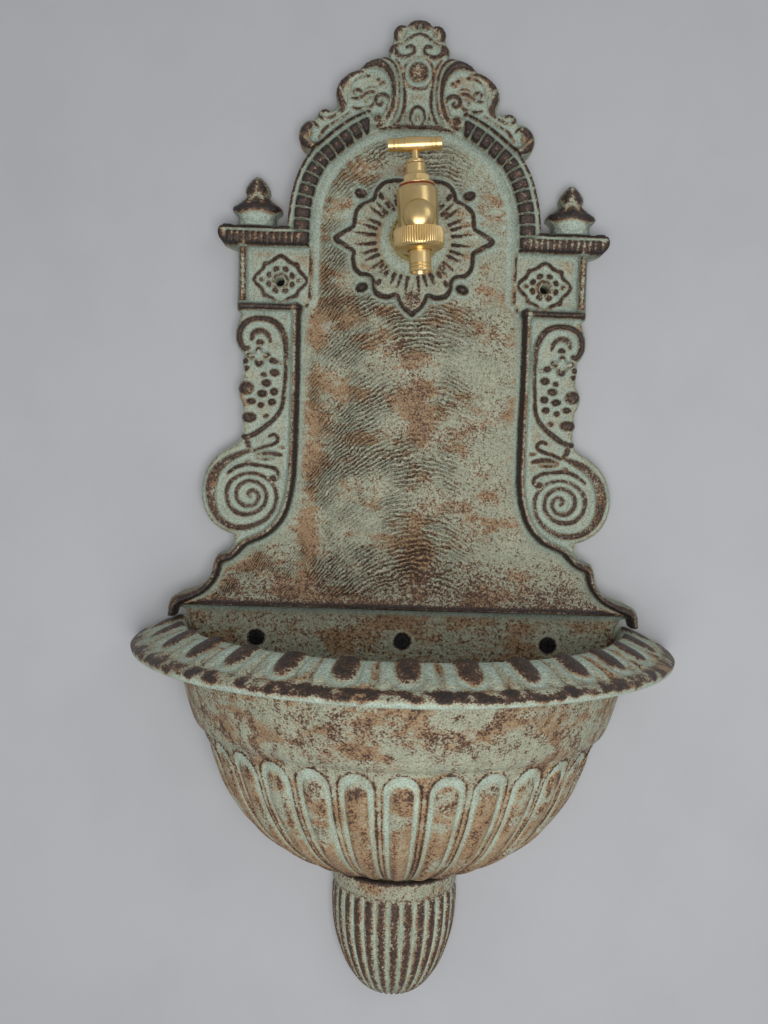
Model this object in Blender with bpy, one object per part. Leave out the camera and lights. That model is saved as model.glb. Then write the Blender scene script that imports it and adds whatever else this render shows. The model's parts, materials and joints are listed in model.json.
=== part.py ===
"""A cast wall-hung drinking fountain: back plate, half-round basin, corbel, brass bib tap and waste.

The frame has its origin on the wall plane, midway between the two wall-screw holes. +X is to the
right of someone facing the fountain, +Y goes into the wall and +Z is up, so the front faces -Y.
Lengths below are in millimetres and angles in degrees.
"""

import math

import bmesh
import bpy
from mathutils import Matrix, Vector

MM = 0.001
GAP = 0.3

# Back plate: depths are measured forward from the wall.
PANEL_DEPTH = 13.0
SKIN = 4.0
FRAME_DEPTH = 17.0
RIDGE_DEPTH = 20.5
ARCH_CENTRE_Z = 45.0
ARCH_X = 95.0
ARCH_Z = 85.0
BAND_WIDTH = 13.0
CREST_TOP = 201.0
PILASTER_X = 135.0
FINIAL_X = 121.5
SLAB_TOP = 39.5
VOLUTE_CENTRE = (126.0, -163.5)
VOLUTE_RADIUS = 33.7
HOLE_X = 102.5
HOLE_RADIUS = 3.75
LIP_Z = -250.0
LIP_DEPTH = 30.0
CORNER_Z = -259.0

# Apron: the plate's tongue hangs in front of the basin's rear wall, and three screws join them.
APRON_SCREW_X = (-114.0, 0.0, 114.0)
APRON_SCREW_Z = -277.0
TONGUE_FRONT = 19.3
TONGUE_BACK = 14.3
TONGUE_TOP_HALF = 166.0
TONGUE_BOTTOM_HALF = 152.0
TONGUE_BOTTOM = -298.0
REAR_WALL_FRONT = 14.0
REAR_WALL_BACK = 8.5
SCREW_RADIUS = 3.0
SCREW_HEAD_RADIUS = 6.0

# Basin and corbel: (radius, height) stations of the turned castings.
RIM_LIP = (210.0, -281.0)
RIM_INNER = (170.0, -264.0)
BOWL_FLOOR = -447.0
LOBES = 15
BASIN_STEP = 4.0
CORBEL_STEP = 6.0
CORBEL_TOP = -454.5
CORBEL_WEB_TOP = -466.5
CORBEL_WEB = 5.0
CORBEL_WEB_RADIUS = 44.5

# Tap: its axis stands TAP_REACH in front of the wall and leans a little in the plane of the wall.
TAP_X = 1.5
TAP_Z = 38.0
TAP_REACH = 65.0
TAP_LEAN = 4.4
THREAD_RADIUS = 10.3
INLET_BORE = 5.2
STEM_RADIUS = 2.6
HANDLE_Z = 54.0
HANDLE_LENGTH = 39.6
BARREL_RADIUS = 14.8
TAIL_RADIUS = 8.2
NUT_RADIUS = 18.4

# Waste: its axis is DRAIN_Y in front of the wall.
DRAIN_Y = -28.0
WASTE_RADIUS = 9.7
WASTE_BORE = 7.5
DRAIN_BORE = 10.1
DRAIN_BOSS = 15.7
ELBOW_RADIUS = 8.0
ELBOW_BORE = 6.2
ELBOW_BEND = 14.0
ELBOW_SIDES = 16
ELBOW_STEPS = 5

ROUND_STEPS = 28
FINE_STEPS = 20

PAINT = ("verdigris_paint", (0.30, 0.36, 0.28), 0.75, 0.0)
BRASS = ("brass", (0.80, 0.58, 0.24), 0.22, 1.0)
BLACK_STEEL = ("black_steel", (0.03, 0.03, 0.035), 0.45, 1.0)
RED_FIBRE = ("red_fibre", (0.45, 0.10, 0.06), 0.8, 0.0)
RUBBER = ("black_rubber", (0.03, 0.03, 0.03), 0.85, 0.0)
PACKING = ("white_packing", (0.85, 0.85, 0.82), 0.6, 0.0)


def clear_scene():
    for obj in list(bpy.data.objects):
        bpy.data.objects.remove(obj, do_unlink=True)


def material(spec):
    name, colour, roughness, metallic = spec
    if name in bpy.data.materials:
        return bpy.data.materials[name]
    made = bpy.data.materials.new(name)
    made.use_nodes = True
    shader = made.node_tree.nodes["Principled BSDF"]
    shader.inputs["Base Color"].default_value = (*colour, 1.0)
    shader.inputs["Roughness"].default_value = roughness
    shader.inputs["Metallic"].default_value = metallic
    made.diffuse_color = (*colour, 1.0)
    return made


def place(name, bm, parent=None):
    """Put a bmesh drawn in millimetres into the scene as an object."""
    bmesh.ops.remove_doubles(bm, verts=bm.verts, dist=1e-4)
    bmesh.ops.recalc_face_normals(bm, faces=bm.faces)
    bmesh.ops.scale(bm, vec=(MM, MM, MM), verts=bm.verts)
    mesh = bpy.data.meshes.new(name)
    bm.to_mesh(mesh)
    bm.free()
    obj = bpy.data.objects.new(name, mesh)
    obj.parent = parent
    bpy.context.scene.collection.objects.link(obj)
    return obj


def finish(obj, spec):
    obj.data.materials.clear()
    obj.data.materials.append(material(spec))
    obj.data.shade_smooth()
    obj.data.set_sharp_from_angle(angle=math.radians(30.0))
    return obj


def boolean(base, other, operation):
    """Join or cut the base with another object, and drop that object."""
    modifier = base.modifiers.new(operation.lower(), "BOOLEAN")
    modifier.operation = operation
    modifier.solver = "EXACT"
    modifier.object = other
    graph = bpy.context.evaluated_depsgraph_get()
    result = bpy.data.meshes.new_from_object(base.evaluated_get(graph))
    base.modifiers.clear()
    bpy.data.objects.remove(other, do_unlink=True)
    bm = bmesh.new()
    bm.from_mesh(result)
    bmesh.ops.remove_doubles(bm, verts=bm.verts, dist=1e-6)
    bmesh.ops.triangulate(bm, faces=bm.faces)
    bm.to_mesh(result)
    bm.free()
    before = base.data
    base.data = result
    bpy.data.meshes.remove(before)


def join(base, *others):
    for other in others:
        boolean(base, other, "UNION")


def cut(base, *others):
    for other in others:
        boolean(base, other, "DIFFERENCE")


def arc(centre, radius, start, end, count):
    """Points along a circular arc in a plane, from one angle to another."""
    points = []
    for i in range(count + 1):
        angle = math.radians(start + (end - start) * i / count)
        points.append((centre[0] + radius * math.cos(angle), centre[1] + radius * math.sin(angle)))
    return points


def ellipse_arc(centre, radii, start, end, count):
    points = []
    for i in range(count + 1):
        angle = math.radians(start + (end - start) * i / count)
        points.append((centre[0] + radii[0] * math.cos(angle), centre[1] + radii[1] * math.sin(angle)))
    return points


def both_sides(right):
    """A closed outline from its right half, listed from the top of the axis to the bottom."""
    left = [(-x, z) for x, z in reversed(right) if x > 1e-6]
    return list(right) + left


def sided(points, side):
    """The points as they are for side +1, and mirrored to -X for side -1."""
    return [(side * x, z) for x, z in points]


def prism(name, outline, back, front, parent=None):
    """An outline in X and Z, given thickness between two distances from the wall."""
    bm = bmesh.new()
    ring = [bm.verts.new((x, -back, z)) for x, z in outline]
    face = bm.faces.new(ring)
    made = bmesh.ops.extrude_face_region(bm, geom=[face])["geom"]
    moved = [item for item in made if isinstance(item, bmesh.types.BMVert)]
    bmesh.ops.translate(bm, verts=moved, vec=(0.0, back - front, 0.0))
    return place(name, bm, parent)


def box(name, low, high, parent=None):
    outline = [(low[0], low[2]), (high[0], low[2]), (high[0], high[2]), (low[0], high[2])]
    return prism(name, outline, -high[1], -low[1], parent)


def disc(name, centre, radius, back, front, count=20):
    return prism(name, arc(centre, radius, 0.0, 360.0, count)[:-1], back, front)


def turned(name, profile, parent=None, steps=ROUND_STEPS, along=None, at=(0.0, 0.0, 0.0)):
    """A closed (radius, height) profile spun about an axis: +Z, or the direction given."""
    bm = bmesh.new()
    ring = [bm.verts.new((radius, 0.0, height)) for radius, height in profile]
    edges = [bm.edges.new((a, b)) for a, b in zip(ring, ring[1:] + ring[:1])]
    bmesh.ops.spin(
        bm, geom=ring + edges, cent=(0.0, 0.0, 0.0), axis=(0.0, 0.0, 1.0),
        angle=2.0 * math.pi, steps=steps, use_duplicate=False, use_merge=True,
    )
    bmesh.ops.remove_doubles(bm, verts=bm.verts, dist=1e-3)
    bmesh.ops.dissolve_degenerate(bm, edges=bm.edges, dist=1e-3)
    axis_edges = [e for e in bm.edges if not e.link_faces]
    bmesh.ops.delete(bm, geom=axis_edges, context="EDGES")
    if along is not None:
        turn = Vector((0.0, 0.0, 1.0)).rotation_difference(Vector(along))
        bm.transform(turn.to_matrix().to_4x4())
    bm.transform(Matrix.Translation(Vector(at)))
    return place(name, bm, parent)


def tube_profile(outer, inner, low, high):
    return [(inner, low), (outer, low), (outer, high), (inner, high)]


def rod_profile(radius, low, high):
    return tube_profile(radius, 0.0, low, high)


def hexagon(name, across_flats, low, high, bore=0.0, parent=None):
    """A hexagonal prism along Z, with an optional round bore."""
    bm = bmesh.new()
    made = bmesh.ops.create_cone(
        bm, cap_ends=True, segments=6, depth=high - low,
        radius1=across_flats / math.sqrt(3.0), radius2=across_flats / math.sqrt(3.0),
    )["verts"]
    bmesh.ops.rotate(bm, verts=made, cent=(0, 0, 0), matrix=Matrix.Rotation(math.radians(30), 3, "Z"))
    bmesh.ops.translate(bm, verts=made, vec=(0.0, 0.0, (low + high) / 2.0))
    obj = place(name, bm, parent)
    if bore:
        cut(obj, turned(name + "_bore", rod_profile(bore, low - 1.0, high + 1.0), parent))
    return obj


def half_turned(name, stations, step, depth=lambda height: 1.0):
    """A closed profile swept half a turn in front of the wall; stations(angle) gives its points.

    depth(height) scales how far the sweep stands out from the wall.
    """
    bm = bmesh.new()
    count = round(180.0 / step)
    rings = []
    for i in range(count + 1):
        degrees = 180.0 + 180.0 * i / count
        angle = math.radians(degrees)
        points = stations(degrees)
        rings.append([
            bm.verts.new((radius * math.cos(angle), radius * math.sin(angle) * depth(height), height))
            for radius, height in points
        ])
    on_axis = [radius == 0.0 for radius, _ in stations(180.0)]
    size = len(on_axis)
    for first, second in zip(rings, rings[1:]):
        for k in range(size):
            after = (k + 1) % size
            if on_axis[k] and on_axis[after]:
                continue
            bm.faces.new((first[k], first[after], second[after], second[k]))
    bm.faces.new(rings[0])
    bm.faces.new(rings[-1])
    bmesh.ops.remove_doubles(bm, verts=bm.verts, dist=1e-3)
    bmesh.ops.dissolve_degenerate(bm, edges=bm.edges, dist=1e-3)
    return place(name, bm)


def loft(name, rows):
    """Stacked rectangles, each (height, low x, high x, back, front)."""
    bm = bmesh.new()
    rings = []
    for height, low, high, back, front in rows:
        corners = [(low, -back), (high, -back), (high, -front), (low, -front)]
        rings.append([bm.verts.new((x, y, height)) for x, y in corners])
    for first, second in zip(rings, rings[1:]):
        for k in range(4):
            after = (k + 1) % 4
            bm.faces.new((first[k], first[after], second[after], second[k]))
    bm.faces.new(rings[0])
    bm.faces.new(rings[-1])
    return place(name, bm)


def lobe_wave(degrees):
    """+1 at the middle of each of the basin's lobes and -1 between them."""
    return math.cos(math.radians(2.0 * LOBES * (degrees - 270.0)))


# ---------------------------------------------------------------- back plate

def flare_rows():
    """(height, half width, depth) of the plate's foot, where it sweeps out and forward."""
    return [
        (-192.0, 118.0, 12.5), (-199.0, 131.5, 13.6), (-205.0, 133.5, 14.4), (-210.0, 138.0, 15.4),
        (-213.5, 146.0, 16.2), (-217.0, 147.3, 17.2), (-226.0, 149.0, 19.8), (-234.0, 153.5, 22.5),
        (-241.0, 164.0, 25.4), (-245.0, 176.0, 27.4), (LIP_Z, 180.0, LIP_DEPTH),
    ]


def finial_outline(centre):
    """The urn on the cornice: neck, bell and bud."""
    right = [(0.0, 80.0), (5.0, 78.0), (9.0, 72.0), (9.0, 68.0), (5.5, 65.0), (11.0, 62.0), (16.5, 57.0)]
    right += [(19.8, 52.0), (17.0, 49.5), (10.5, 47.0), (9.5, 44.0), (12.5, 41.0), (12.5, SLAB_TOP - 3.0)]
    return [(centre + x, z) for x, z in both_sides(right)]


def crest_outline():
    right = [(0.0, CREST_TOP)]
    right += arc((0.0, 194.0), 7.0, 60.0, 15.0, 2)
    right += arc((13.0, 189.0), 6.8, 115.0, -15.0, 5)
    right += arc((17.0, 177.0), 6.0, 50.0, -55.0, 4)
    right += arc((30.0, 152.0), 18.6, 110.0, 48.0, 4)
    right += arc((44.0, 144.0), 17.6, 66.0, -22.0, 6)
    right += arc((70.0, 126.0), 5.2, 140.0, 5.0, 5)
    right += arc((81.0, 112.0), 9.6, 105.0, -55.0, 7)
    right += ellipse_arc((0.0, ARCH_CENTRE_Z), (ARCH_X, ARCH_Z), 36.0, 0.0, 6)
    return right


def pilaster_outline():
    right = [(ARCH_X + 1.0, SLAB_TOP), (146.0, SLAB_TOP + 1.0)]
    right += arc((143.5, 34.0), 7.0, 45.0, -60.0, 4)
    right += [(139.0, 25.0), (PILASTER_X, 23.5), (PILASTER_X, -23.0), (131.0, -24.5)]
    right += arc((122.5, -41.0), 13.0, 50.0, -50.0, 5)
    right += [(129.5, -60.0), (129.0, -74.0)]
    right += arc((126.5, -84.0), 6.5, 60.0, -60.0, 3)
    right += [(130.0, -104.0), (127.5, -113.0), (129.0, -119.0)]
    right += arc(VOLUTE_CENTRE, VOLUTE_RADIUS, 72.0, -77.0, 12)
    right += [(133.5, -200.0)]
    return right


def plate_outline():
    return both_sides(crest_outline() + pilaster_outline() + [(0.0, -200.0)])


def panel_outline():
    """The recessed field: an arch on straight jambs that curve out under the volutes."""
    right = [(0.0, ARCH_CENTRE_Z + ARCH_Z - BAND_WIDTH)]
    right += ellipse_arc(
        (0.0, ARCH_CENTRE_Z), (ARCH_X - BAND_WIDTH - 3.0, ARCH_Z - BAND_WIDTH), 80.0, 0.0, 12
    )
    right += [(79.0, -17.0), (86.0, -17.0), (86.0, -150.0)]
    right += ellipse_arc((130.0, -150.0), (44.0, 53.0), 192.0, 262.0, 6)
    right += [(134.0, -206.0), (0.0, -206.0)]
    return both_sides(right)


def arch_band():
    """The raised band that the small blocks stand on."""
    outer = [(ARCH_X - 4.0, 27.0)]
    outer += ellipse_arc((0, ARCH_CENTRE_Z), (ARCH_X - 4.0, ARCH_Z - 3.0), 0.0, 180.0, 20)
    outer += [(4.0 - ARCH_X, 27.0)]
    inner_x = ARCH_X - BAND_WIDTH - 2.0
    inner = [(-inner_x, 27.0)]
    inner += ellipse_arc((0, ARCH_CENTRE_Z), (inner_x, ARCH_Z - BAND_WIDTH - 1.0), 180.0, 0.0, 20)
    inner += [(inner_x, 27.0)]
    return outer + inner


def spiral_ridge(side):
    """The volute's scroll, a ribbon that winds in from its outer edge."""
    turns, width, steps = 2.5, 2.2, 28
    outer, inner = [], []
    for i in range(steps + 1):
        share = i / steps
        angle = math.radians(75.0 - 360.0 * turns * share)
        middle = (VOLUTE_RADIUS - 6.0) * (1.0 - share) + 3.5 * share
        for points, offset in ((outer, width), (inner, -width)):
            radius = middle + offset * (1.0 - 0.3 * share)
            points.append((radius * math.cos(angle), radius * math.sin(angle)))
    outline = [(VOLUTE_CENTRE[0] + x, VOLUTE_CENTRE[1] + z) for x, z in outer + inner[::-1]]
    return sided(outline, side)


def tap_rosette():
    """Four pointed leaves on the axes and four rounder ones between them."""
    points = []
    for i in range(48):
        angle = 2.0 * math.pi * i / 48
        pointed = max(0.0, math.cos(2.0 * angle) ** 2 - 0.55) * 28.0
        radius = 45.0 + pointed * abs(math.cos(2.0 * angle)) + 2.5 * math.cos(8.0 * angle)
        points.append((radius * math.cos(angle), 35.0 + radius * math.sin(angle)))
    return points


def diamond(centre):
    points = []
    for i in range(24):
        angle = 2.0 * math.pi * i / 24
        radius = 15.0 + 4.5 * abs(math.cos(2.0 * angle)) ** 3
        points.append((centre + radius * math.cos(angle), radius * math.sin(angle)))
    return points


def side_relief(side):
    """The raised work of one pilaster, as prisms that sink into the plate."""
    inside = FRAME_DEPTH - 2.0
    slab = [(82.0, SLAB_TOP - 0.5), (146.0, SLAB_TOP - 0.5), (149.8, 34.0), (144.0, 27.5), (82.0, 27.5)]
    bar = [(84.5, -17.0), (PILASTER_X - 0.5, -17.0), (PILASTER_X - 0.5, -22.5), (84.5, -22.5)]
    strip = [(128.0, 26.0), (PILASTER_X - 0.5, 26.0), (PILASTER_X - 0.5, -18.0), (128.0, -18.0)]
    jamb = [(86.5, -19.0), (90.5, -19.0), (90.5, -148.0), (86.5, -150.0)]
    hood_outer = ellipse_arc((114.5, -48.0), (18.5, 20.0), -12.0, 180.0, 10)
    hood_inner = ellipse_arc((114.5, -48.0), (14.5, 15.5), 180.0, -12.0, 10)
    hood = hood_outer + [(96.0, -92.0), (100.0, -92.0)] + hood_inner
    return [
        prism("slab", sided(slab, side), inside, RIDGE_DEPTH + 3.5),
        prism("bar", sided(bar, side), inside, RIDGE_DEPTH),
        prism("strip", sided(strip, side), inside, RIDGE_DEPTH),
        prism("jamb", sided(jamb, side), inside, RIDGE_DEPTH),
        prism("hood", sided(hood, side), inside, RIDGE_DEPTH),
        prism("finial", finial_outline(side * FINIAL_X), 4.0, RIDGE_DEPTH + 1.0),
        prism("diamond", diamond(side * HOLE_X), inside, RIDGE_DEPTH - 1.0),
        prism("spiral", spiral_ridge(side), inside, RIDGE_DEPTH + 0.5),
    ]


def crest_scroll(side):
    """One of the crest's pair of large scrolls."""
    outer = ellipse_arc((-4.0, 0.0), (25.0, 29.0), 75.0, -75.0, 10)
    inner = ellipse_arc((-4.0, 0.0), (20.5, 24.0), -75.0, 75.0, 10)
    return sided([(38.0 - x, 144.0 + z) for x, z in outer + inner], side)


def edge_moulding(side):
    """The raised border that steps down the plate's foot, ending in a small square corner."""
    rows = []
    for height, half, depth in flare_rows()[1:]:
        ends = sorted((side * (half - 6.5), side * (half + 0.4)))
        rows.append((height, *ends, depth - 4.0, depth + 3.2))
    rows.append((CORNER_Z, *sorted((side * 173.5, side * 180.6)), LIP_DEPTH - 4.5, LIP_DEPTH + 3.2))
    return loft("edge", rows)


def plate_hollows():
    """What is cast hollow behind the skin."""
    floor = PANEL_DEPTH - SKIN
    deep_floor = FRAME_DEPTH - SKIN
    arch = [(-84.0, -20.0)]
    arch += ellipse_arc((0.0, ARCH_CENTRE_Z), (84.0, 76.0), 180.0, 0.0, 16)
    arch += [(84.0, -20.0)]
    crest = [(0.0, 188.0), (9.0, 180.0), (12.0, 160.0), (14.0, 134.0), (0.0, 134.0)]
    hollows = [
        prism("arch", arch[::-1], -1.0, floor),
        box("waist", (-82.0, -floor, -194.0), (82.0, 1.0, -15.0)),
        prism("crest", both_sides(crest), -1.0, deep_floor),
    ]
    for side in (-1, 1):
        low, high = sorted((side * 84.0, side * 129.5))
        hollows.append(box("block", (low, -deep_floor, -20.0), (high, 1.0, 33.0)))
        low, high = sorted((side * 90.5, side * 123.0))
        hollows.append(box("console", (low, -deep_floor, -150.0), (high, 1.0, -21.0)))
        volute = (side * VOLUTE_CENTRE[0], VOLUTE_CENTRE[1])
        hollows.append(disc("volute", volute, VOLUTE_RADIUS - 5.7, -1.0, deep_floor))
        hollows.append(disc("scroll", (side * 39.0, 141.0), 15.0, -1.0, deep_floor))
        hollows.append(disc("finial", (side * FINIAL_X, 53.0), 9.0, -1.0, deep_floor))
    inner_rows = [
        (height + 1.0, 5.5 - half, half - 5.5, -1.0, depth - SKIN)
        for height, half, depth in flare_rows()[:-1]
    ]
    hollows.append(loft("foot", inner_rows))
    return hollows


def back_plate():
    plate = prism("back_plate", plate_outline(), 0.0, FRAME_DEPTH)
    cut(plate, prism("panel", panel_outline(), PANEL_DEPTH, FRAME_DEPTH + 5.0))
    foot_rows = [(height, -half, half, 0.0, depth) for height, half, depth in flare_rows()]
    join(plate, loft("foot", foot_rows))
    cut(plate, *plate_hollows())
    join(plate, edge_moulding(-1), edge_moulding(1))
    tongue = [
        (-TONGUE_TOP_HALF, LIP_Z + 3.0), (TONGUE_TOP_HALF, LIP_Z + 3.0), (TONGUE_TOP_HALF, LIP_Z - 9.0),
        (TONGUE_BOTTOM_HALF, TONGUE_BOTTOM), (-TONGUE_BOTTOM_HALF, TONGUE_BOTTOM),
        (-TONGUE_TOP_HALF, LIP_Z - 9.0),
    ]
    join(plate, prism("tongue", tongue, TONGUE_BACK, TONGUE_FRONT))
    join(plate, prism("band", arch_band(), PANEL_DEPTH - 2.0, RIDGE_DEPTH))
    join(plate, prism("rosette", tap_rosette(), PANEL_DEPTH - 2.0, PANEL_DEPTH + 4.0))
    for side in (-1, 1):
        join(plate, *side_relief(side))
        join(plate, prism("scroll", crest_scroll(side), FRAME_DEPTH - 2.0, RIDGE_DEPTH + 1.0))
    join(plate, disc("cabochon", (0.0, 159.0), 6.5, FRAME_DEPTH - 2.0, RIDGE_DEPTH + 1.0, 16))
    # The cross-rib and bosses bear on the wall behind the two wall screws.
    join(plate, box("rib", (-HOLE_X - 6.0, -PANEL_DEPTH + 1.0, -7.0), (HOLE_X + 6.0, 0.0, 7.0)))
    for side in (-1, 1):
        join(plate, disc("boss", (side * HOLE_X, 0.0), 9.5, 0.0, FRAME_DEPTH - 1.0))
        cut(plate, disc("hole", (side * HOLE_X, 0.0), HOLE_RADIUS, -1.0, RIDGE_DEPTH + 1.0))
    cut(plate, disc("dish", (0.0, 35.0), 27.0, PANEL_DEPTH + 2.0, PANEL_DEPTH + 6.0, 28))
    cut(plate, disc("tap_hole", (TAP_X, TAP_Z), THREAD_RADIUS + 0.7, -1.0, RIDGE_DEPTH, 28))
    for x in APRON_SCREW_X:
        cut(plate, countersink(x, GAP))
    finish(plate, PAINT)


# ---------------------------------------------------------------- apron fixings

def countersink(x, extra):
    """The shape of a countersunk screw, grown all round, as a cutter for its seat."""
    shank, head = SCREW_RADIUS + extra, SCREW_HEAD_RADIUS + extra
    front = -TONGUE_FRONT
    profile = [
        (0.0, front - 2.0), (head, front - 2.0), (head, front + 0.6), (shank, front + 3.6 + extra),
        (shank, front + 22.0), (0.0, front + 22.0),
    ]
    return turned("countersink", profile, steps=16, along=(0, 1, 0), at=(x, 0.0, APRON_SCREW_Z))


def apron_screw(name, x):
    front = -TONGUE_FRONT
    profile = [
        (0.0, front + 0.2), (SCREW_HEAD_RADIUS - 0.4, front + 0.2), (SCREW_HEAD_RADIUS, front + 0.6),
        (SCREW_RADIUS, front + 3.6), (SCREW_RADIUS, -0.9), (0.0, -0.9),
    ]
    screw = turned(name, profile, steps=16, along=(0, 1, 0), at=(x, 0.0, APRON_SCREW_Z))
    for half_x, half_z in ((3.0, 0.7), (0.7, 3.0)):
        low = (x - half_x, front - 1.0, APRON_SCREW_Z - half_z)
        cut(screw, box("slot", low, (x + half_x, front + 2.2, APRON_SCREW_Z + half_z)))
    finish(screw, BLACK_STEEL)


def apron_washer(name, x):
    bore = SCREW_RADIUS + GAP
    profile = tube_profile(5.6, bore, -REAR_WALL_BACK + GAP, -REAR_WALL_BACK + GAP + 1.2)
    finish(turned(name, profile, steps=16, along=(0, 1, 0), at=(x, 0.0, APRON_SCREW_Z)), BLACK_STEEL)


def apron_nut(name, x):
    back = -REAR_WALL_BACK + 2.0 * GAP + 1.2
    nut = hexagon(name, 10.0, back, back + 4.8, SCREW_RADIUS + GAP)
    nut.rotation_euler = (-math.pi / 2.0, 0.0, 0.0)
    nut.location = (x * MM, 0.0, APRON_SCREW_Z * MM)
    finish(nut, BLACK_STEEL)


def apron_fixings():
    for side, x in zip(("left", "middle", "right"), APRON_SCREW_X):
        apron_screw("apron_screw_" + side, x)
        apron_washer("apron_washer_" + side, x)
        apron_nut("apron_nut_" + side, x)


# ---------------------------------------------------------------- basin and corbel

def basin_stations(degrees):
    """Outer profile from rim to floor, then the inside back up; the flutes ripple the outside."""
    wave = lobe_wave(degrees)
    lip_r, lip_z = RIM_LIP
    in_r, in_z = RIM_INNER
    outer = [
        (lip_r, lip_z - 1.5), (lip_r - 3.0, lip_z - 4.0), (178.0, lip_z), (173.0, -297.0), (167.0, -320.0),
        (161.0, -337.0), (152.5 + wave, -348.0), (148.0 + 1.5 * wave, -356.0),
        (143.0 + 1.8 * wave, -370.0), (136.0 + 1.8 * wave, -386.0), (126.0 + 1.6 * wave, -402.0),
        (113.0 + 1.4 * wave, -417.0), (96.0 + 1.1 * wave, -430.5), (75.0 + 0.8 * wave, -442.5),
        (54.0 + 0.5 * wave, -450.5), (44.0, -453.0), (0.0, -453.0),
    ]
    inner = [
        (0.0, BOWL_FLOOR), (45.0, BOWL_FLOOR), (71.0, -436.5), (91.0, -424.5), (107.0, -411.0),
        (124.5, -390.0), (136.0, -368.0), (153.0, -334.0), (165.0, -300.0), (168.5, in_z - 6.0),
        (in_r, in_z - 1.0), (in_r + 2.5, in_z), (188.0, in_z - 5.5 + 0.9 * wave),
        (200.0, lip_z + 5.0 + 0.9 * wave), (lip_r - 3.0, lip_z + 1.5),
    ]
    return outer + inner


def basin_depth(height):
    """The bowl is a little shallower than a half-round below its rim, and round again at its foot."""
    rows = [(-300.0, 1.0), (-345.0, 0.92), (-400.0, 0.92), (-447.0, 1.0)]
    if height >= rows[0][0] or height <= rows[-1][0]:
        return 1.0
    for (high, first), (low, second) in zip(rows, rows[1:]):
        if height >= low:
            return first + (second - first) * (high - height) / (high - low)
    return 1.0


def basin():
    bowl = half_turned("basin", basin_stations, BASIN_STEP, basin_depth)
    inside = [(170.0, -262.5), (166.0, -300.0), (162.0, -321.0), (154.0, -337.0), (143.0, -356.0)]
    inside += [(139.0, -369.0), (131.0, -385.0), (121.0, -400.5), (108.0, -415.0), (92.0, -428.0)]
    inside += [(72.0, -440.0), (52.0, -447.5), (42.0, -450.0)]
    outline = inside + sided(inside[::-1], -1)
    rear_wall = prism("rear_wall", outline, REAR_WALL_BACK, REAR_WALL_FRONT)
    join(bowl, rear_wall)
    drain = (0.0, DRAIN_Y, 0.0)
    boss = rod_profile(DRAIN_BOSS, CORBEL_WEB_TOP + GAP, BOWL_FLOOR - 2.5)
    join(bowl, turned("boss", boss, steps=FINE_STEPS, at=drain))
    bore = rod_profile(DRAIN_BORE, CORBEL_WEB_TOP - 10.0, BOWL_FLOOR + 10.0)
    cut(bowl, turned("drain_bore", bore, steps=FINE_STEPS, at=drain))
    for x in APRON_SCREW_X:
        cut(bowl, disc("screw_hole", (x, APRON_SCREW_Z), SCREW_RADIUS + GAP, 2.0, 20.0, 16))
    finish(bowl, PAINT)


def corbel_stations(degrees):
    wave = math.cos(math.radians(30.0 * (degrees - 270.0)))
    rib = 0.8 * wave
    outer = [
        (50.0, CORBEL_TOP), (50.3, -460.5), (49.8, -469.5), (48.6 + rib, -471.5), (48.6 + rib, -487.0),
        (46.8 + rib, -506.0), (42.8 + rib, -523.0), (36.0 + 1.2 * wave, -539.0),
        (27.0 + 1.5 * wave, -551.5), (18.0 + 1.2 * wave, -558.5), (10.0, -561.0), (0.0, -559.0),
    ]
    inner = [
        (0.0, -551.0), (12.0, -550.5), (22.0, -543.5), (31.0, -532.0), (37.5, -517.0), (41.5, -501.0),
        (43.4, -486.0), (43.6, -470.0), (45.0, -460.5), (45.2, CORBEL_TOP),
    ]
    return outer + inner


def corbel_web():
    """The half-round floor inside the corbel, which the waste clamps against the bowl's boss."""
    bm = bmesh.new()
    outline = arc((0.0, -0.5), CORBEL_WEB_RADIUS, 180.0, 360.0, 24)
    ring = [bm.verts.new((x, y, CORBEL_WEB_TOP)) for x, y in outline]
    made = bmesh.ops.extrude_face_region(bm, geom=[bm.faces.new(ring)])["geom"]
    moved = [item for item in made if isinstance(item, bmesh.types.BMVert)]
    bmesh.ops.translate(bm, verts=moved, vec=(0.0, 0.0, -CORBEL_WEB))
    return place("web", bm)


def corbel():
    body = half_turned("corbel", corbel_stations, CORBEL_STEP)
    join(body, corbel_web())
    bore = rod_profile(DRAIN_BORE, CORBEL_WEB_TOP - CORBEL_WEB - 10.0, CORBEL_WEB_TOP + 10.0)
    cut(body, turned("web_bore", bore, steps=FINE_STEPS, at=(0.0, DRAIN_Y, 0.0)))
    finish(body, PAINT)


# ---------------------------------------------------------------- waste

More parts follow.
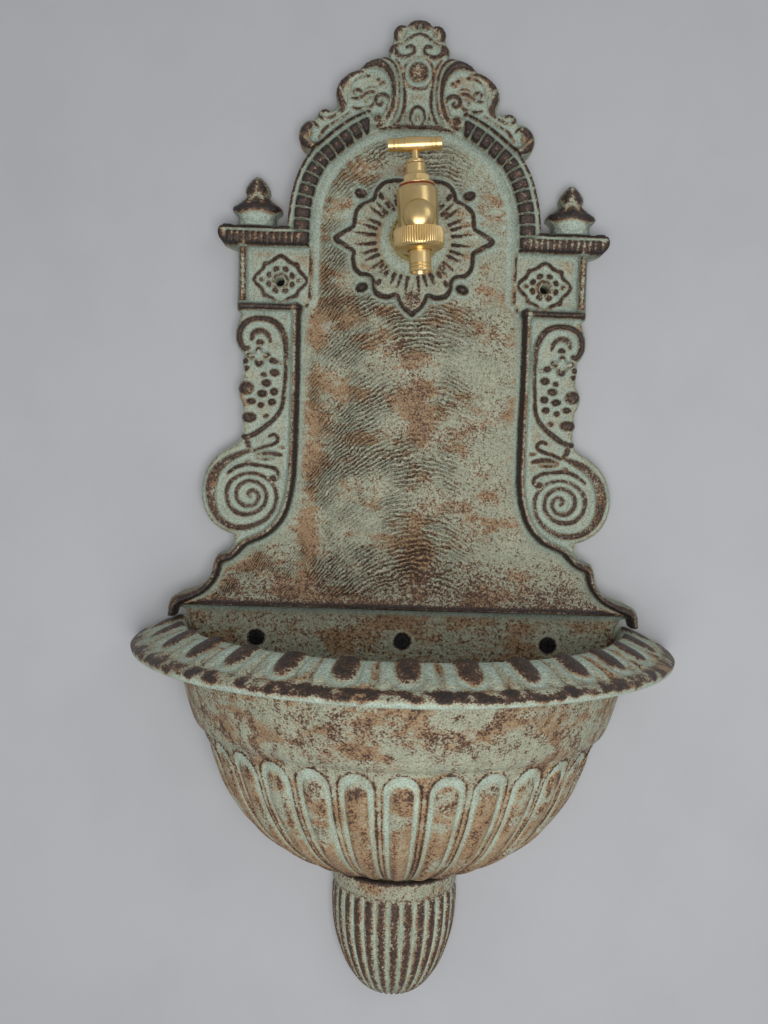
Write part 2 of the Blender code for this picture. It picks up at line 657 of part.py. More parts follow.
def waste():
    at = (0.0, DRAIN_Y, 0.0)
    web_bottom = CORBEL_WEB_TOP - CORBEL_WEB
    seat = BOWL_FLOOR + GAP
    gasket = tube_profile(13.0, DRAIN_BORE, seat, seat + 1.2)
    finish(turned("drain_gasket", gasket, at=at), RUBBER)
    flange = seat + 1.2 + GAP
    body = [
        (WASTE_BORE, web_bottom - 21.0), (WASTE_RADIUS, web_bottom - 21.0), (WASTE_RADIUS, flange),
        (13.3, flange), (13.3, flange + 1.0), (12.0, flange + 2.2), (10.5, flange + 1.2),
        (WASTE_BORE, flange + 0.2),
    ]
    finish(turned("drain_body", body, at=at), BRASS)
    strainer()
    top = web_bottom - GAP
    washer = tube_profile(13.0, WASTE_RADIUS + GAP, top - 1.5, top)
    finish(turned("drain_washer", washer, at=at), RUBBER)
    top -= 1.5 + GAP
    locknut = tube_profile(13.0, WASTE_RADIUS + GAP, top - 6.0, top)
    finish(turned("drain_locknut", locknut, at=at), BRASS)
    top -= 6.0 + GAP
    nut = [
        (ELBOW_RADIUS + GAP, web_bottom - 26.0), (11.0, web_bottom - 26.0), (12.6, web_bottom - 23.5),
        (12.6, top), (WASTE_RADIUS + GAP, top), (WASTE_RADIUS + GAP, web_bottom - 24.0),
        (ELBOW_RADIUS + GAP, web_bottom - 24.0),
    ]
    finish(turned("tail_nut", nut, at=at), BRASS)
    waste_elbow(web_bottom - 21.0 - GAP)


def strainer():
    """A loose disc with five holes, held by one screw into the bridge below it."""
    low = BOWL_FLOOR + 2.0 * GAP + 2.9
    drain = (0.0, DRAIN_Y, 0.0)
    through = rod_profile(1.7, low - 1.0, low + 2.0)
    plate = turned("drain_strainer", rod_profile(9.6, low, low + 1.0), steps=FINE_STEPS, at=drain)
    for x, y in arc((0.0, DRAIN_Y), 5.6, 90.0, 450.0, 5)[:-1]:
        cut(plate, turned("hole", through, steps=12, at=(x, y, 0.0)))
    cut(plate, turned("eye", through, steps=12, at=drain))
    finish(plate, BRASS)
    half = WASTE_BORE - GAP
    bridge = box("drain_bridge", (-half, DRAIN_Y - 2.0, low - 7.0), (half, DRAIN_Y + 2.0, low - 3.0))
    cut(bridge, turned("tapped", rod_profile(1.8, low - 9.0, low), steps=12, at=drain))
    finish(bridge, BRASS)
    head = low + 1.0 + GAP
    screw = [
        (0.0, low - 8.0), (1.5, low - 8.0), (1.5, head), (3.0, head), (2.4, head + 1.4), (0.0, head + 1.6),
    ]
    finish(turned("strainer_screw", screw, steps=12, at=drain), BRASS)


def waste_elbow(top):
    """A pipe that drops from the drain body and turns back into the wall."""
    path = [((0.0, DRAIN_Y, top), (0.0, 0.0, -1.0))]
    bend_top = top - 3.0
    for i in range(ELBOW_STEPS + 1):
        angle = math.radians(90.0 * i / ELBOW_STEPS)
        y = DRAIN_Y + ELBOW_BEND * (1.0 - math.cos(angle))
        z = bend_top - ELBOW_BEND * math.sin(angle)
        path.append(((0.0, y, z), (0.0, math.sin(angle), -math.cos(angle))))
    path.append(((0.0, -0.5, bend_top - ELBOW_BEND), (0.0, 1.0, 0.0)))
    bm = bmesh.new()
    rings = []
    side = Vector((1.0, 0.0, 0.0))
    for centre, direction in path:
        up = Vector(direction).cross(side)
        pair = []
        for radius in (ELBOW_RADIUS, ELBOW_BORE):
            circle = arc((0.0, 0.0), radius, 0.0, 360.0, ELBOW_SIDES)[:-1]
            pair.append([bm.verts.new(Vector(centre) + side * x + up * y) for x, y in circle])
        rings.append(pair)
    for k in range(ELBOW_SIDES):
        after = (k + 1) % ELBOW_SIDES
        for first, second in zip(rings, rings[1:]):
            for wall in (0, 1):
                bm.faces.new((first[wall][k], first[wall][after], second[wall][after], second[wall][k]))
        for pair in (rings[0], rings[-1]):
            bm.faces.new((pair[0][k], pair[0][after], pair[1][after], pair[1][k]))
    finish(place("waste_elbow", bm), BRASS)


# ---------------------------------------------------------------- tap

def tap_axis():
    """The empty on the tap's leaning axis, at the height of its inlet."""
    axis = bpy.data.objects.new("tap_axis", None)
    axis.location = (TAP_X * MM, -TAP_REACH * MM, TAP_Z * MM)
    axis.rotation_euler = (0.0, -math.radians(TAP_LEAN), 0.0)
    bpy.context.scene.collection.objects.link(axis)
    return axis


def tap_body(axis):
    """Barrel, domed cross-barrel, inlet leg with its hexagon and shank, seat and threaded spigot."""
    barrel = [
        (0.0, -12.5), (12.9, -12.5), (12.9, -6.7), (BARREL_RADIUS, -6.7), (BARREL_RADIUS, 21.0),
        (12.9, 23.2), (0.0, 23.2),
    ]
    body = turned("tap_body", barrel, axis)
    dome = [(0.0, -6.0), (11.5, -6.0), (11.5, 13.5), (9.8, 16.2), (6.0, 18.2), (0.0, 19.0)]
    cross = turned("cross", dome, axis, steps=FINE_STEPS, along=(0, -1, 0), at=(0.0, 0.0, 0.5))
    cut(cross, box("trim", (-20.0, -30.0, -20.0), (20.0, 10.0, -6.69), axis))
    join(body, cross)
    leg = [(0.0, 5.0), (6.6, 5.0), (6.6, 21.0), (7.9, 22.0), (7.9, TAP_REACH - 32.0), (THREAD_RADIUS, TAP_REACH - 31.0)]
    leg += [(THREAD_RADIUS, TAP_REACH - 1.0), (0.0, TAP_REACH - 1.0)]
    join(body, turned("leg", leg, axis, along=(0, 1, 0)))
    hexagonal = hexagon("hexagonal", 24.0, TAP_REACH - 32.0, TAP_REACH - 27.0, parent=axis)
    hexagonal.rotation_euler = (-math.pi / 2.0, 0.0, 0.0)
    join(body, hexagonal)
    chamber = [(0.0, 2.0), (10.6, 2.0), (10.6, 30.0), (0.0, 30.0)]
    cut(body, turned("chamber", chamber, axis))
    seat_ring = [(4.8, 1.0), (7.2, 1.0), (6.4, 3.0), (5.2, 3.0)]
    join(body, turned("seat_ring", seat_ring, axis, steps=FINE_STEPS))
    cut(body, turned("seat_bore", rod_profile(5.0, -20.0, 2.5), axis, steps=FINE_STEPS))
    outlet = [(0.0, -20.0), (8.5, -20.0), (8.5, -8.0), (0.0, -3.0)]
    cut(body, turned("outlet", outlet, axis, steps=FINE_STEPS))
    inlet = rod_profile(INLET_BORE, 8.0, TAP_REACH + 5.0)
    cut(body, turned("inlet", inlet, axis, steps=16, along=(0, 1, 0)))
    finish(body, BRASS)


def inlet_fixings(axis):
    """The wall flange in front of the plate, and the gasket and backnut behind it."""
    front = TAP_REACH - PANEL_DEPTH - 2.0 - GAP
    bore = THREAD_RADIUS + GAP
    flange = [
        (bore, front - 9.5), (13.0, front - 9.5), (17.4, front - 6.5), (20.0, front),
        (18.6, front), (16.2, front - 5.6), (12.6, front - 8.1), (bore, front - 8.1),
    ]
    finish(turned("wall_flange", flange, axis, along=(0, 1, 0)), BRASS)
    behind = TAP_REACH - PANEL_DEPTH + SKIN + GAP
    gasket = tube_profile(15.0, bore, behind, behind + 1.2)
    finish(turned("inlet_gasket", gasket, axis, along=(0, 1, 0)), RUBBER)
    nut = hexagon("inlet_backnut", 27.0, behind + 1.2 + GAP, behind + 6.8, bore, axis)
    nut.rotation_euler = (-math.pi / 2.0, 0.0, 0.0)
    finish(nut, BRASS)


def bonnet_group(axis):
    washer = tube_profile(12.9, 10.6, 23.5, 24.3)
    finish(turned("bonnet_washer", washer, axis), RED_FIBRE)
    shell = [
        (6.0, 15.0), (10.2, 15.0), (10.2, 24.6), (12.9, 24.6), (12.9, 25.8), (9.0, 26.2), (9.0, 31.0),
        (7.1, 33.5), (7.1, 39.8), (4.9, 39.8), (4.9, 32.8), (3.0, 32.8), (3.0, 31.6), (6.0, 31.6),
    ]
    bonnet = turned("bonnet", shell, axis)
    join(bonnet, hexagon("hexagonal", 18.0, 25.3, 30.9, 8.0, axis))
    finish(bonnet, BRASS)
    packing = tube_profile(4.6, 2.9, 33.1, 36.6)
    finish(turned("gland_packing", packing, axis, steps=FINE_STEPS), PACKING)
    gland = [(3.0, 36.9), (4.6, 36.9), (4.6, 40.1), (6.6, 40.1), (6.6, 42.4), (3.0, 42.4)]
    finish(turned("gland_nut", gland, axis, steps=FINE_STEPS), BRASS)


def spindle_group(axis):
    """Everything that turns with the handle."""
    spindle = [
        (2.7, 8.0), (5.6, 8.0), (5.6, 25.8), (STEM_RADIUS, 26.4), (STEM_RADIUS, 53.0), (0.0, 53.0),
        (0.0, 20.0), (2.7, 20.0),
    ]
    finish(turned("spindle", spindle, axis, steps=FINE_STEPS), BRASS)
    half = HANDLE_LENGTH / 2.0
    right = [(7.2, 4.95), (7.3, 4.35), (half - 5.2, 4.35), (half - 4.6, 4.0), (half - 4.0, 4.35)]
    right += [(half - 0.6, 4.35), (half, 3.8)]
    profile = [(0.0, -half)] + [(r, -x) for x, r in reversed(right)] + [(r, x) for x, r in right]
    profile += [(0.0, half)]
    bar = turned("tee_bar", profile, axis, steps=FINE_STEPS, along=(1, 0, 0), at=(0.0, 0.0, HANDLE_Z))
    socket = rod_profile(STEM_RADIUS + GAP, 40.0, 53.0 + GAP)
    cut(bar, turned("socket", socket, axis, steps=FINE_STEPS))
    finish(bar, BRASS)


def valve_group(axis):
    """The jumper, its washer and the small nut that holds it."""
    jumper = [
        (0.0, -2.4), (1.5, -2.4), (1.5, 5.1), (8.4, 5.1), (8.4, 7.6), (2.4, 7.6), (2.4, 18.0), (0.0, 18.0),
    ]
    finish(turned("jumper_valve", jumper, axis, steps=FINE_STEPS), BRASS)
    finish(turned("valve_washer", tube_profile(7.6, 1.8, 3.3, 4.8), axis, steps=FINE_STEPS), RUBBER)
    nut = hexagon("washer_nut", 5.5, 0.6, 3.0, 1.8, axis)
    finish(nut, BRASS)


def union_group(axis):
    """The union nut and the hose tail that it holds under the spigot."""
    finish(turned("union_washer", tube_profile(12.4, 7.4, -14.2, -12.7), axis), RUBBER)
    nut = [
        (13.2, -7.0), (NUT_RADIUS - 0.6, -7.0), (NUT_RADIUS, -7.6), (NUT_RADIUS, -14.8),
        (NUT_RADIUS - 0.5, -15.5), (17.2, -17.5), (15.5, -19.8), (12.8, -21.8), (9.7, -22.8),
        (TAIL_RADIUS + 0.5, -22.8), (TAIL_RADIUS + 0.5, -17.0), (13.2, -17.0),
    ]
    finish(turned("union_nut", nut, axis), BRASS)
    tail = [
        (6.2, -14.5), (12.7, -14.5), (12.7, -16.7), (TAIL_RADIUS, -16.7), (TAIL_RADIUS, -34.2),
        (TAIL_RADIUS - 0.5, -34.7), (TAIL_RADIUS, -35.2), (TAIL_RADIUS, -37.6), (6.2, -37.6),
    ]
    finish(turned("hose_tail", tail, axis), BRASS)


def main():
    clear_scene()
    back_plate()
    basin()
    corbel()
    apron_fixings()
    waste()
    axis = tap_axis()
    tap_body(axis)
    inlet_fixings(axis)
    bonnet_group(axis)
    spindle_group(axis)
    valve_group(axis)
    union_group(axis)


main()
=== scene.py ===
import json
import math

import bmesh
import bpy
import numpy as np
from mathutils import Matrix, Vector

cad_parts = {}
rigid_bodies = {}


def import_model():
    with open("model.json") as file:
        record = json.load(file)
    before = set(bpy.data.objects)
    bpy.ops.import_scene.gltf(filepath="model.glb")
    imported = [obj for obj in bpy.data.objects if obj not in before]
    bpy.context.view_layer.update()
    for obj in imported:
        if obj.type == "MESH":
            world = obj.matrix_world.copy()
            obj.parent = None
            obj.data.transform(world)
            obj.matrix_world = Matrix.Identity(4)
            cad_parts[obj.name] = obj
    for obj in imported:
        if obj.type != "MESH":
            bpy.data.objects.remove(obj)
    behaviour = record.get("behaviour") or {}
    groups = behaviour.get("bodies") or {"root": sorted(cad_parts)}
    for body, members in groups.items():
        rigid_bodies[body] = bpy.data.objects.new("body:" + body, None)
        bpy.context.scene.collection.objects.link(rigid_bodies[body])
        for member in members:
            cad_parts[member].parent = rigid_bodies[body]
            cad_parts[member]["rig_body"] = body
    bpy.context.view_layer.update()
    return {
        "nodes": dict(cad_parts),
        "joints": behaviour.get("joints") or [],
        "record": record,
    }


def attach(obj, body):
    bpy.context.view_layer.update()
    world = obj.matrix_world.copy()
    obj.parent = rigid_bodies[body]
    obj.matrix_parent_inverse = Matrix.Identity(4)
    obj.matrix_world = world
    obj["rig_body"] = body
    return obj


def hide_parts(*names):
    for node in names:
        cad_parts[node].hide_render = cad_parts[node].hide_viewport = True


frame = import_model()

MM = 0.001

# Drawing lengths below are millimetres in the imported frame: x across, z up, depth forward of the wall.
FINE = 0.9  # side of the plate's smallest mesh cell
DRAW_STEP = 0.5  # spacing of the points that the ornament is drawn on
PANEL, FIELD, BLOCK_FIELD = 13.0, 16.4, 15.2  # depths of the panel, its frame and the screw blocks
TONGUE_FRONT, TONGUE_BACK = 19.3, 14.3  # faces of the tongue that the apron screws pass
LIP_Z, TONGUE_LOW = -251.2, -298.0  # heights of the panel's lip and the tongue's end
SKIN = 4.0  # thickness of the hollow casting
HOLE_X, HOLE_Z, HOLE_RADIUS = 102.5, 0.0, 3.75  # the wall-screw hole
TAP_HOLE_X, TAP_HOLE_Z, TAP_HOLE_RADIUS = 1.5, 38.0, 10.9
APRON_X, APRON_Z, SCREW_BORE = (0.0, 114.0), -277.0, 3.2  # the apron screws' places and bore
DRAIN_BORE = (0.0, -28.0, 10.1)  # x, y and radius of the drain's bore
BLOCK_PITCH = 9.4  # spacing of the arch's small blocks
BLOCK_LOW, BLOCK_TOP = -17, 27  # heights of the screw block's foot and top
CORNICE_LOW, CHANNEL_Z, FILLET_Z, CORNICE_TOP = 26.5, 37.4, 39.9, 42.5  # levels of the cornice's bands
BLEND = 1.0  # reach, in drawing steps, of the plate's final smoothing
FRONT_SLACK, BACK_SLACK = 0.12, 0.30  # bend that a merged mesh cell may flatten
HOLE_SIDES = 40  # corners of a round bore


# ---------------------------------------------------------------- small tools

def smooth(low, high, value):
    """0 below low, 1 above high, and an S-shaped rise between them."""
    t = np.clip((value - low) / (high - low), 0.0, 1.0)
    return t * t * (3.0 - 2.0 * t)


def spline(points, step=1.1):
    """Points (x, z, half width) along a smooth line through the given ones."""
    p = np.array([q if len(q) == 3 else (*q, 1.0) for q in points], float)
    ends = np.vstack([2 * p[0] - p[1], p, 2 * p[-1] - p[-2]])
    made = []
    for a, b, c, d in zip(ends, ends[1:], ends[2:], ends[3:]):
        count = max(1, round(math.dist(b[:2], c[:2]) / step))
        t = (np.arange(count) / count)[:, None]
        made.append(b + 0.5 * t * ((c - a) + t * ((2 * a - 5 * b + 4 * c - d) + t * (3 * (b - c) + d - a))))
    made.append(p[-1:])
    return np.vstack(made)


def nearest(path, x, z):
    """For each point: distance over the half width there, distance, side, length along, half width."""
    share = np.full(x.shape, 1e9)
    gap, side, along, wide = (np.zeros(x.shape) for _ in range(4))
    run = 0.0
    for a, b in zip(path, path[1:]):
        ex, ez = b[0] - a[0], b[1] - a[1]
        length = math.hypot(ex, ez)
        if length < 1e-9:
            continue
        t = np.clip(((x - a[0]) * ex + (z - a[1]) * ez) / length ** 2, 0.0, 1.0)
        distance = np.hypot(x - a[0] - t * ex, z - a[1] - t * ez)
        half = a[2] + t * (b[2] - a[2])
        closer = distance / half < share
        share = np.where(closer, distance / half, share)
        gap = np.where(closer, distance, gap)
        side = np.where(closer, np.sign(ex * (z - a[1]) - ez * (x - a[0])), side)
        along = np.where(closer, run + t * length, along)
        wide = np.where(closer, half, wide)
        run += length
    return share, gap, side, along, wide


def circle(x, y, radius, count):
    """The corners of a round outline."""
    turns = np.linspace(0.0, 2.0 * math.pi, count, endpoint=False)
    return [(x + radius * math.cos(a), y + radius * math.sin(a)) for a in turns]


def bell(offset, width):
    return np.exp(-(offset / width) ** 2)


def bilinear(corners, fu, fv):
    """The value between four corners, in the order (0, 0), (1, 0), (0, 1), (1, 1)."""
    low = corners[0] * (1 - fu) + corners[1] * fu
    return low * (1 - fv) + (corners[2] * (1 - fu) + corners[3] * fu) * fv


def ridge(height, low, rise, fall, high, value):
    """The height between rise and fall, with S-shaped flanks out to low and high."""
    return height * smooth(low, rise, value) * (1 - smooth(fall, high, value))


def add_object(name, data):
    obj = bpy.data.objects.new(name, data)
    bpy.context.scene.collection.objects.link(obj)
    return obj


def outline_distance(outline, x, z):
    """Distance to a closed outline, negative inside it."""
    best = np.full(x.shape, 1e9)
    inside = np.zeros(x.shape, bool)
    for a, b in zip(outline, np.roll(outline, -1, axis=0)):
        ex, ez = b[0] - a[0], b[1] - a[1]
        t = np.clip(((x - a[0]) * ex + (z - a[1]) * ez) / max(ex * ex + ez * ez, 1e-12), 0.0, 1.0)
        best = np.minimum(best, np.hypot(x - a[0] - t * ex, z - a[1] - t * ez))
        if a[1] != b[1]:
            inside ^= ((a[1] > z) != (b[1] > z)) & (x < a[0] + (z - a[1]) / ez * ex)
    return np.where(inside, -best, best)


def blur(values, sigma):
    """Gaussian blur over both axes of a grid, sigma in cells."""
    reach = int(3 * sigma) + 1
    kernel = np.exp(-0.5 * (np.arange(-reach, reach + 1) / sigma) ** 2)
    kernel /= kernel.sum()
    for axis in (0, 1):
        padded = np.pad(values, [(reach, reach) if k == axis else (0, 0) for k in (0, 1)], mode="edge")
        count = values.shape[axis]
        values = sum(w * np.take(padded, range(i, i + count), axis) for i, w in enumerate(kernel))
    return values


def cloud(x, z, size, seed):
    """Smooth noise from 0 to 1 whose lumps are about size across."""
    table = np.random.default_rng(seed).random((64, 64))
    u, v = x / size + 300.0, z / size + 300.0
    i, j = np.floor(u).astype(int), np.floor(v).astype(int)
    fu, fv = smooth(0, 1, u - i), smooth(0, 1, v - j)
    return bilinear([table[(i + a) % 64, (j + b) % 64] for b in (0, 1) for a in (0, 1)], fu, fv)


class Relief:
    """Ornament drawn on a grid: the height that it adds, raised or sunk, in millimetres."""

    def __init__(self, us, vs):
        self.us, self.vs = us, vs
        self.u, self.v = np.meshgrid(us, vs)
        self.raised = np.zeros_like(self.u)
        self.sunk = np.zeros_like(self.u)
        self.tint = np.zeros_like(self.u)

    def window(self, low, high):
        rows = slice(*np.searchsorted(self.vs, (low[1], high[1])))
        return rows, slice(*np.searchsorted(self.us, (low[0], high[0])))

    def around(self, path):
        """The part of the grid that a path reaches, and its largest half width."""
        reach = path[:, 2].max()
        return self.window(path[:, :2].min(0) - reach, path[:, :2].max(0) + reach), reach

    def add(self, window, made):
        if made.size and made.max() > 0:
            self.raised[window] = np.maximum(self.raised[window], made)
        elif made.size:
            self.sunk[window] = np.minimum(self.sunk[window], made)

    def stroke(self, height, points):
        """A rounded ridge along a smooth line, lower where it is narrow; a height under 0 is a groove."""
        path = spline([(x, z, 1.2 * half) for x, z, half in points])
        window, reach = self.around(path)
        share, _, _, _, wide = nearest(path, self.u[window], self.v[window])
        profile = np.clip(1.0 - share ** 2, 0.0, 1.0) ** 0.75
        self.add(window, height * profile * np.sqrt(np.clip(wide / reach, 0.0, 1.0)))

    def dome(self, height, x, z, rx, rz, turn=0.0):
        reach = max(rx, rz)
        window = self.window((x - reach, z - reach), (x + reach, z + reach))
        c, s = math.cos(math.radians(turn)), math.sin(math.radians(turn))
        u, v = self.u[window] - x, self.v[window] - z
        share = np.hypot((u * c + v * s) / rx, (v * c - u * s) / rz)
        self.add(window, height * np.clip(1.0 - share ** 2, 0.0, 1.0) ** 0.6)

    def paint(self, amount, points):
        """Thicker paint (under 0) or more rubbing (over 0) along a smooth line; along the jamb's inner flank
        it paints shade.
        """
        path = spline(points)
        window, _ = self.around(path)
        share = nearest(path, self.u[window], self.v[window])[0]
        self.tint[window] += amount * (1.0 - smooth(0.5, 1.0, share))

    def plateau(self, height, outline, bevel):
        outline = np.array(outline, float)
        window = self.window(outline.min(0), outline.max(0))
        inside = -outline_distance(outline, self.u[window], self.v[window])
        self.add(window, height * smooth(0.0, bevel, inside))


# ---------------------------------------------------------------- drawing of the back plate

# The right half of the plate's outline, from the top of the crest down to the tongue: (x, z).
CREST_EDGE = [
    (0, 201), (4, 200.6), (8, 198.2), (10.2, 196.4), (13, 197), (17, 195.3), (20, 190.5), (19.8, 186),
    (21.6, 182), (23.6, 178.6), (23.2, 175.6), (22.2, 173.4), (27, 173), (33, 171.8), (39, 168.5),
    (44.5, 164), (50, 161.6), (56, 157.4), (61, 151.3), (63, 145), (62.6, 140), (61.6, 136), (62.8, 132.8),
    (66, 131.6), (71, 132.6), (75.6, 130), (77.2, 126.8), (79.4, 124.9), (84, 123.6), (88.2, 119.8),
    (90.6, 114), (90.4, 108.5), (88, 104), (84.6, 101.4), (82.6, 99.4), (86.2, 93), (90.2, 84),
    (93.6, 73.5), (96, 62), (97.2, 52), (97.6, 44),
]
SLAB_EDGE = [(97.6, 41.6), (146.5, 41.8)]
SIDE_EDGE = [
    (146.5, 41.8), (149.6, 40.4), (151, 37), (150, 32.5), (146.5, 28.5), (141, 26), (136.2, 24.6),
    (135.2, 22), (135.2, -10), (135.2, -21.5), (134, -24),
]
CONSOLE_EDGE = [
    (131.8, -25), (134.4, -33), (135.8, -40), (135.3, -47), (132.4, -53.5), (130, -57), (129.5, -65),
    (129.3, -74), (131.2, -78), (133, -84), (132, -90), (129.6, -95), (129.2, -101), (129.8, -106),
    (128.6, -111), (128.8, -117), (131, -123.6), (135, -127), (141, -130.4), (148, -135.6),
    (153.6, -142.5), (157.8, -151.5), (159.7, -162), (158.8, -172), (155, -182), (148.5, -189.8),
    (140, -194.8), (133.6, -196.8),
]
FOOT_EDGE = [
    (133.4, -203), (137, -208.8), (141, -211.4), (145.4, -212.4), (147, -216), (148.2, -221),
    (149.4, -227), (153, -233), (158, -237), (164, -240), (170, -242), (176.4, -244), (179.2, -247.2),
    (180.2, -252), (181, -259.3),
]
TONGUE_EDGE = [(175.2, -259.6), (173.4, -253.6), (169.5, -256.2), (165.6, -265), (158.6, -286), (155, -298)]

# The urn on the cornice: its axis, and its half width at each height.
FINIAL_X = 121.8
FINIAL_HALF = [
    (38, 16), (42, 16), (44.5, 15), (48, 14.3), (50.5, 14.9), (52.5, 17.2), (54, 18.9), (55.8, 19.2),
    (57.6, 17.6), (60, 13.8), (62.5, 10.6), (64.6, 8.4), (66.4, 8.6), (69, 9.5), (71.5, 9.2), (74.5, 7.4),
    (77.5, 4.8), (79.4, 2.8), (80.2, 0.4),
]

# Lines of the panel: the arch's outer channel, the cove's edge, the panel's side and the moulding beside it.
CHANNEL = [
    (94.1, 24), (94.1, 45), (92.8, 60), (90.6, 70), (87.4, 81), (82, 92), (76, 100.3), (68, 107.3),
    (60, 113.7), (51, 120), (44, 124), (36.5, 128),
]
COVE_EDGE = [
    (80.4, -17), (80.4, 10), (80.4, 45), (79, 58), (76, 70), (71.5, 81), (66, 90), (59.5, 98.5),
    (52, 105.5), (44, 111), (36, 115), (26, 118.3), (14, 119.8), (0, 120.2), (-14, 119.8),
]
PANEL_SIDE = [
    (80.4, 24), (80.6, -16), (84.4, -17.5), (86, -24), (86.2, -80), (86.2, -140), (87, -155), (89.2, -168),
    (93.2, -180.5), (99.6, -190.4), (108, -197.6), (118, -202), (124.5, -205.4), (129.5, -211.5),
    (136, -217), (141.2, -219.5), (143, -226), (146.6, -233.4), (153, -240.6), (162, -246), (171, -250),
]
JAMB = [
    (89.6, -18), (89.8, -60), (89.8, -140), (90.4, -155), (92.8, -169), (97, -180.8), (103.4, -190),
    (111.5, -196.6), (120, -200.6), (126.5, -203.8), (130.6, -208.6), (135.2, -213), (141.6, -215),
    (145.2, -218.4), (146.2, -225), (149, -232), (155, -238.6), (164, -243.4), (172.6, -246.6),
    (176.6, -251), (178, -259),
]
# The scroll at the console's foot: (x, z, half width).
VOLUTE = [
    (121, -130.2, 1.2), (130, -133.6, 2.2), (140, -139, 2.8), (147.6, -147, 3.4), (151.8, -157, 4),
    (152.2, -166, 3.8), (150, -176, 3), (144.6, -184.6, 2.4), (136, -190, 2.2), (127, -191.2, 2.2),
    (117.4, -189, 2), (108.6, -183.6, 1.8), (102.8, -176, 1.6), (100.6, -167, 1.5), (102.6, -158.6, 1.4),
    (108, -152.4, 1.3), (115.5, -149, 1.2), (123.5, -148.6, 1.2), (131.6, -151.6, 1.4),
    (137.8, -157.4, 1.6), (139.8, -165, 1.6), (137.6, -173.4, 1.6), (131.4, -179.4, 1.7),
    (123.4, -180.6, 1.7), (115.6, -178, 1.6), (110, -172.4, 1.5), (108.6, -165.4, 1.5),
    (111.2, -158.8, 1.5), (117, -155, 1.5), (124, -154.8, 1.5), (129.8, -158.4, 1.5), (132.2, -164.4, 1.5),
    (130.2, -170.6, 1.6), (124.8, -174, 1.7), (118.6, -173.2, 1.6), (114.8, -169, 1.5), (115.4, -164, 1.5),
    (119.4, -161.6, 1.5), (122.8, -164, 1.4), (121, -166.8, 1.2),
]

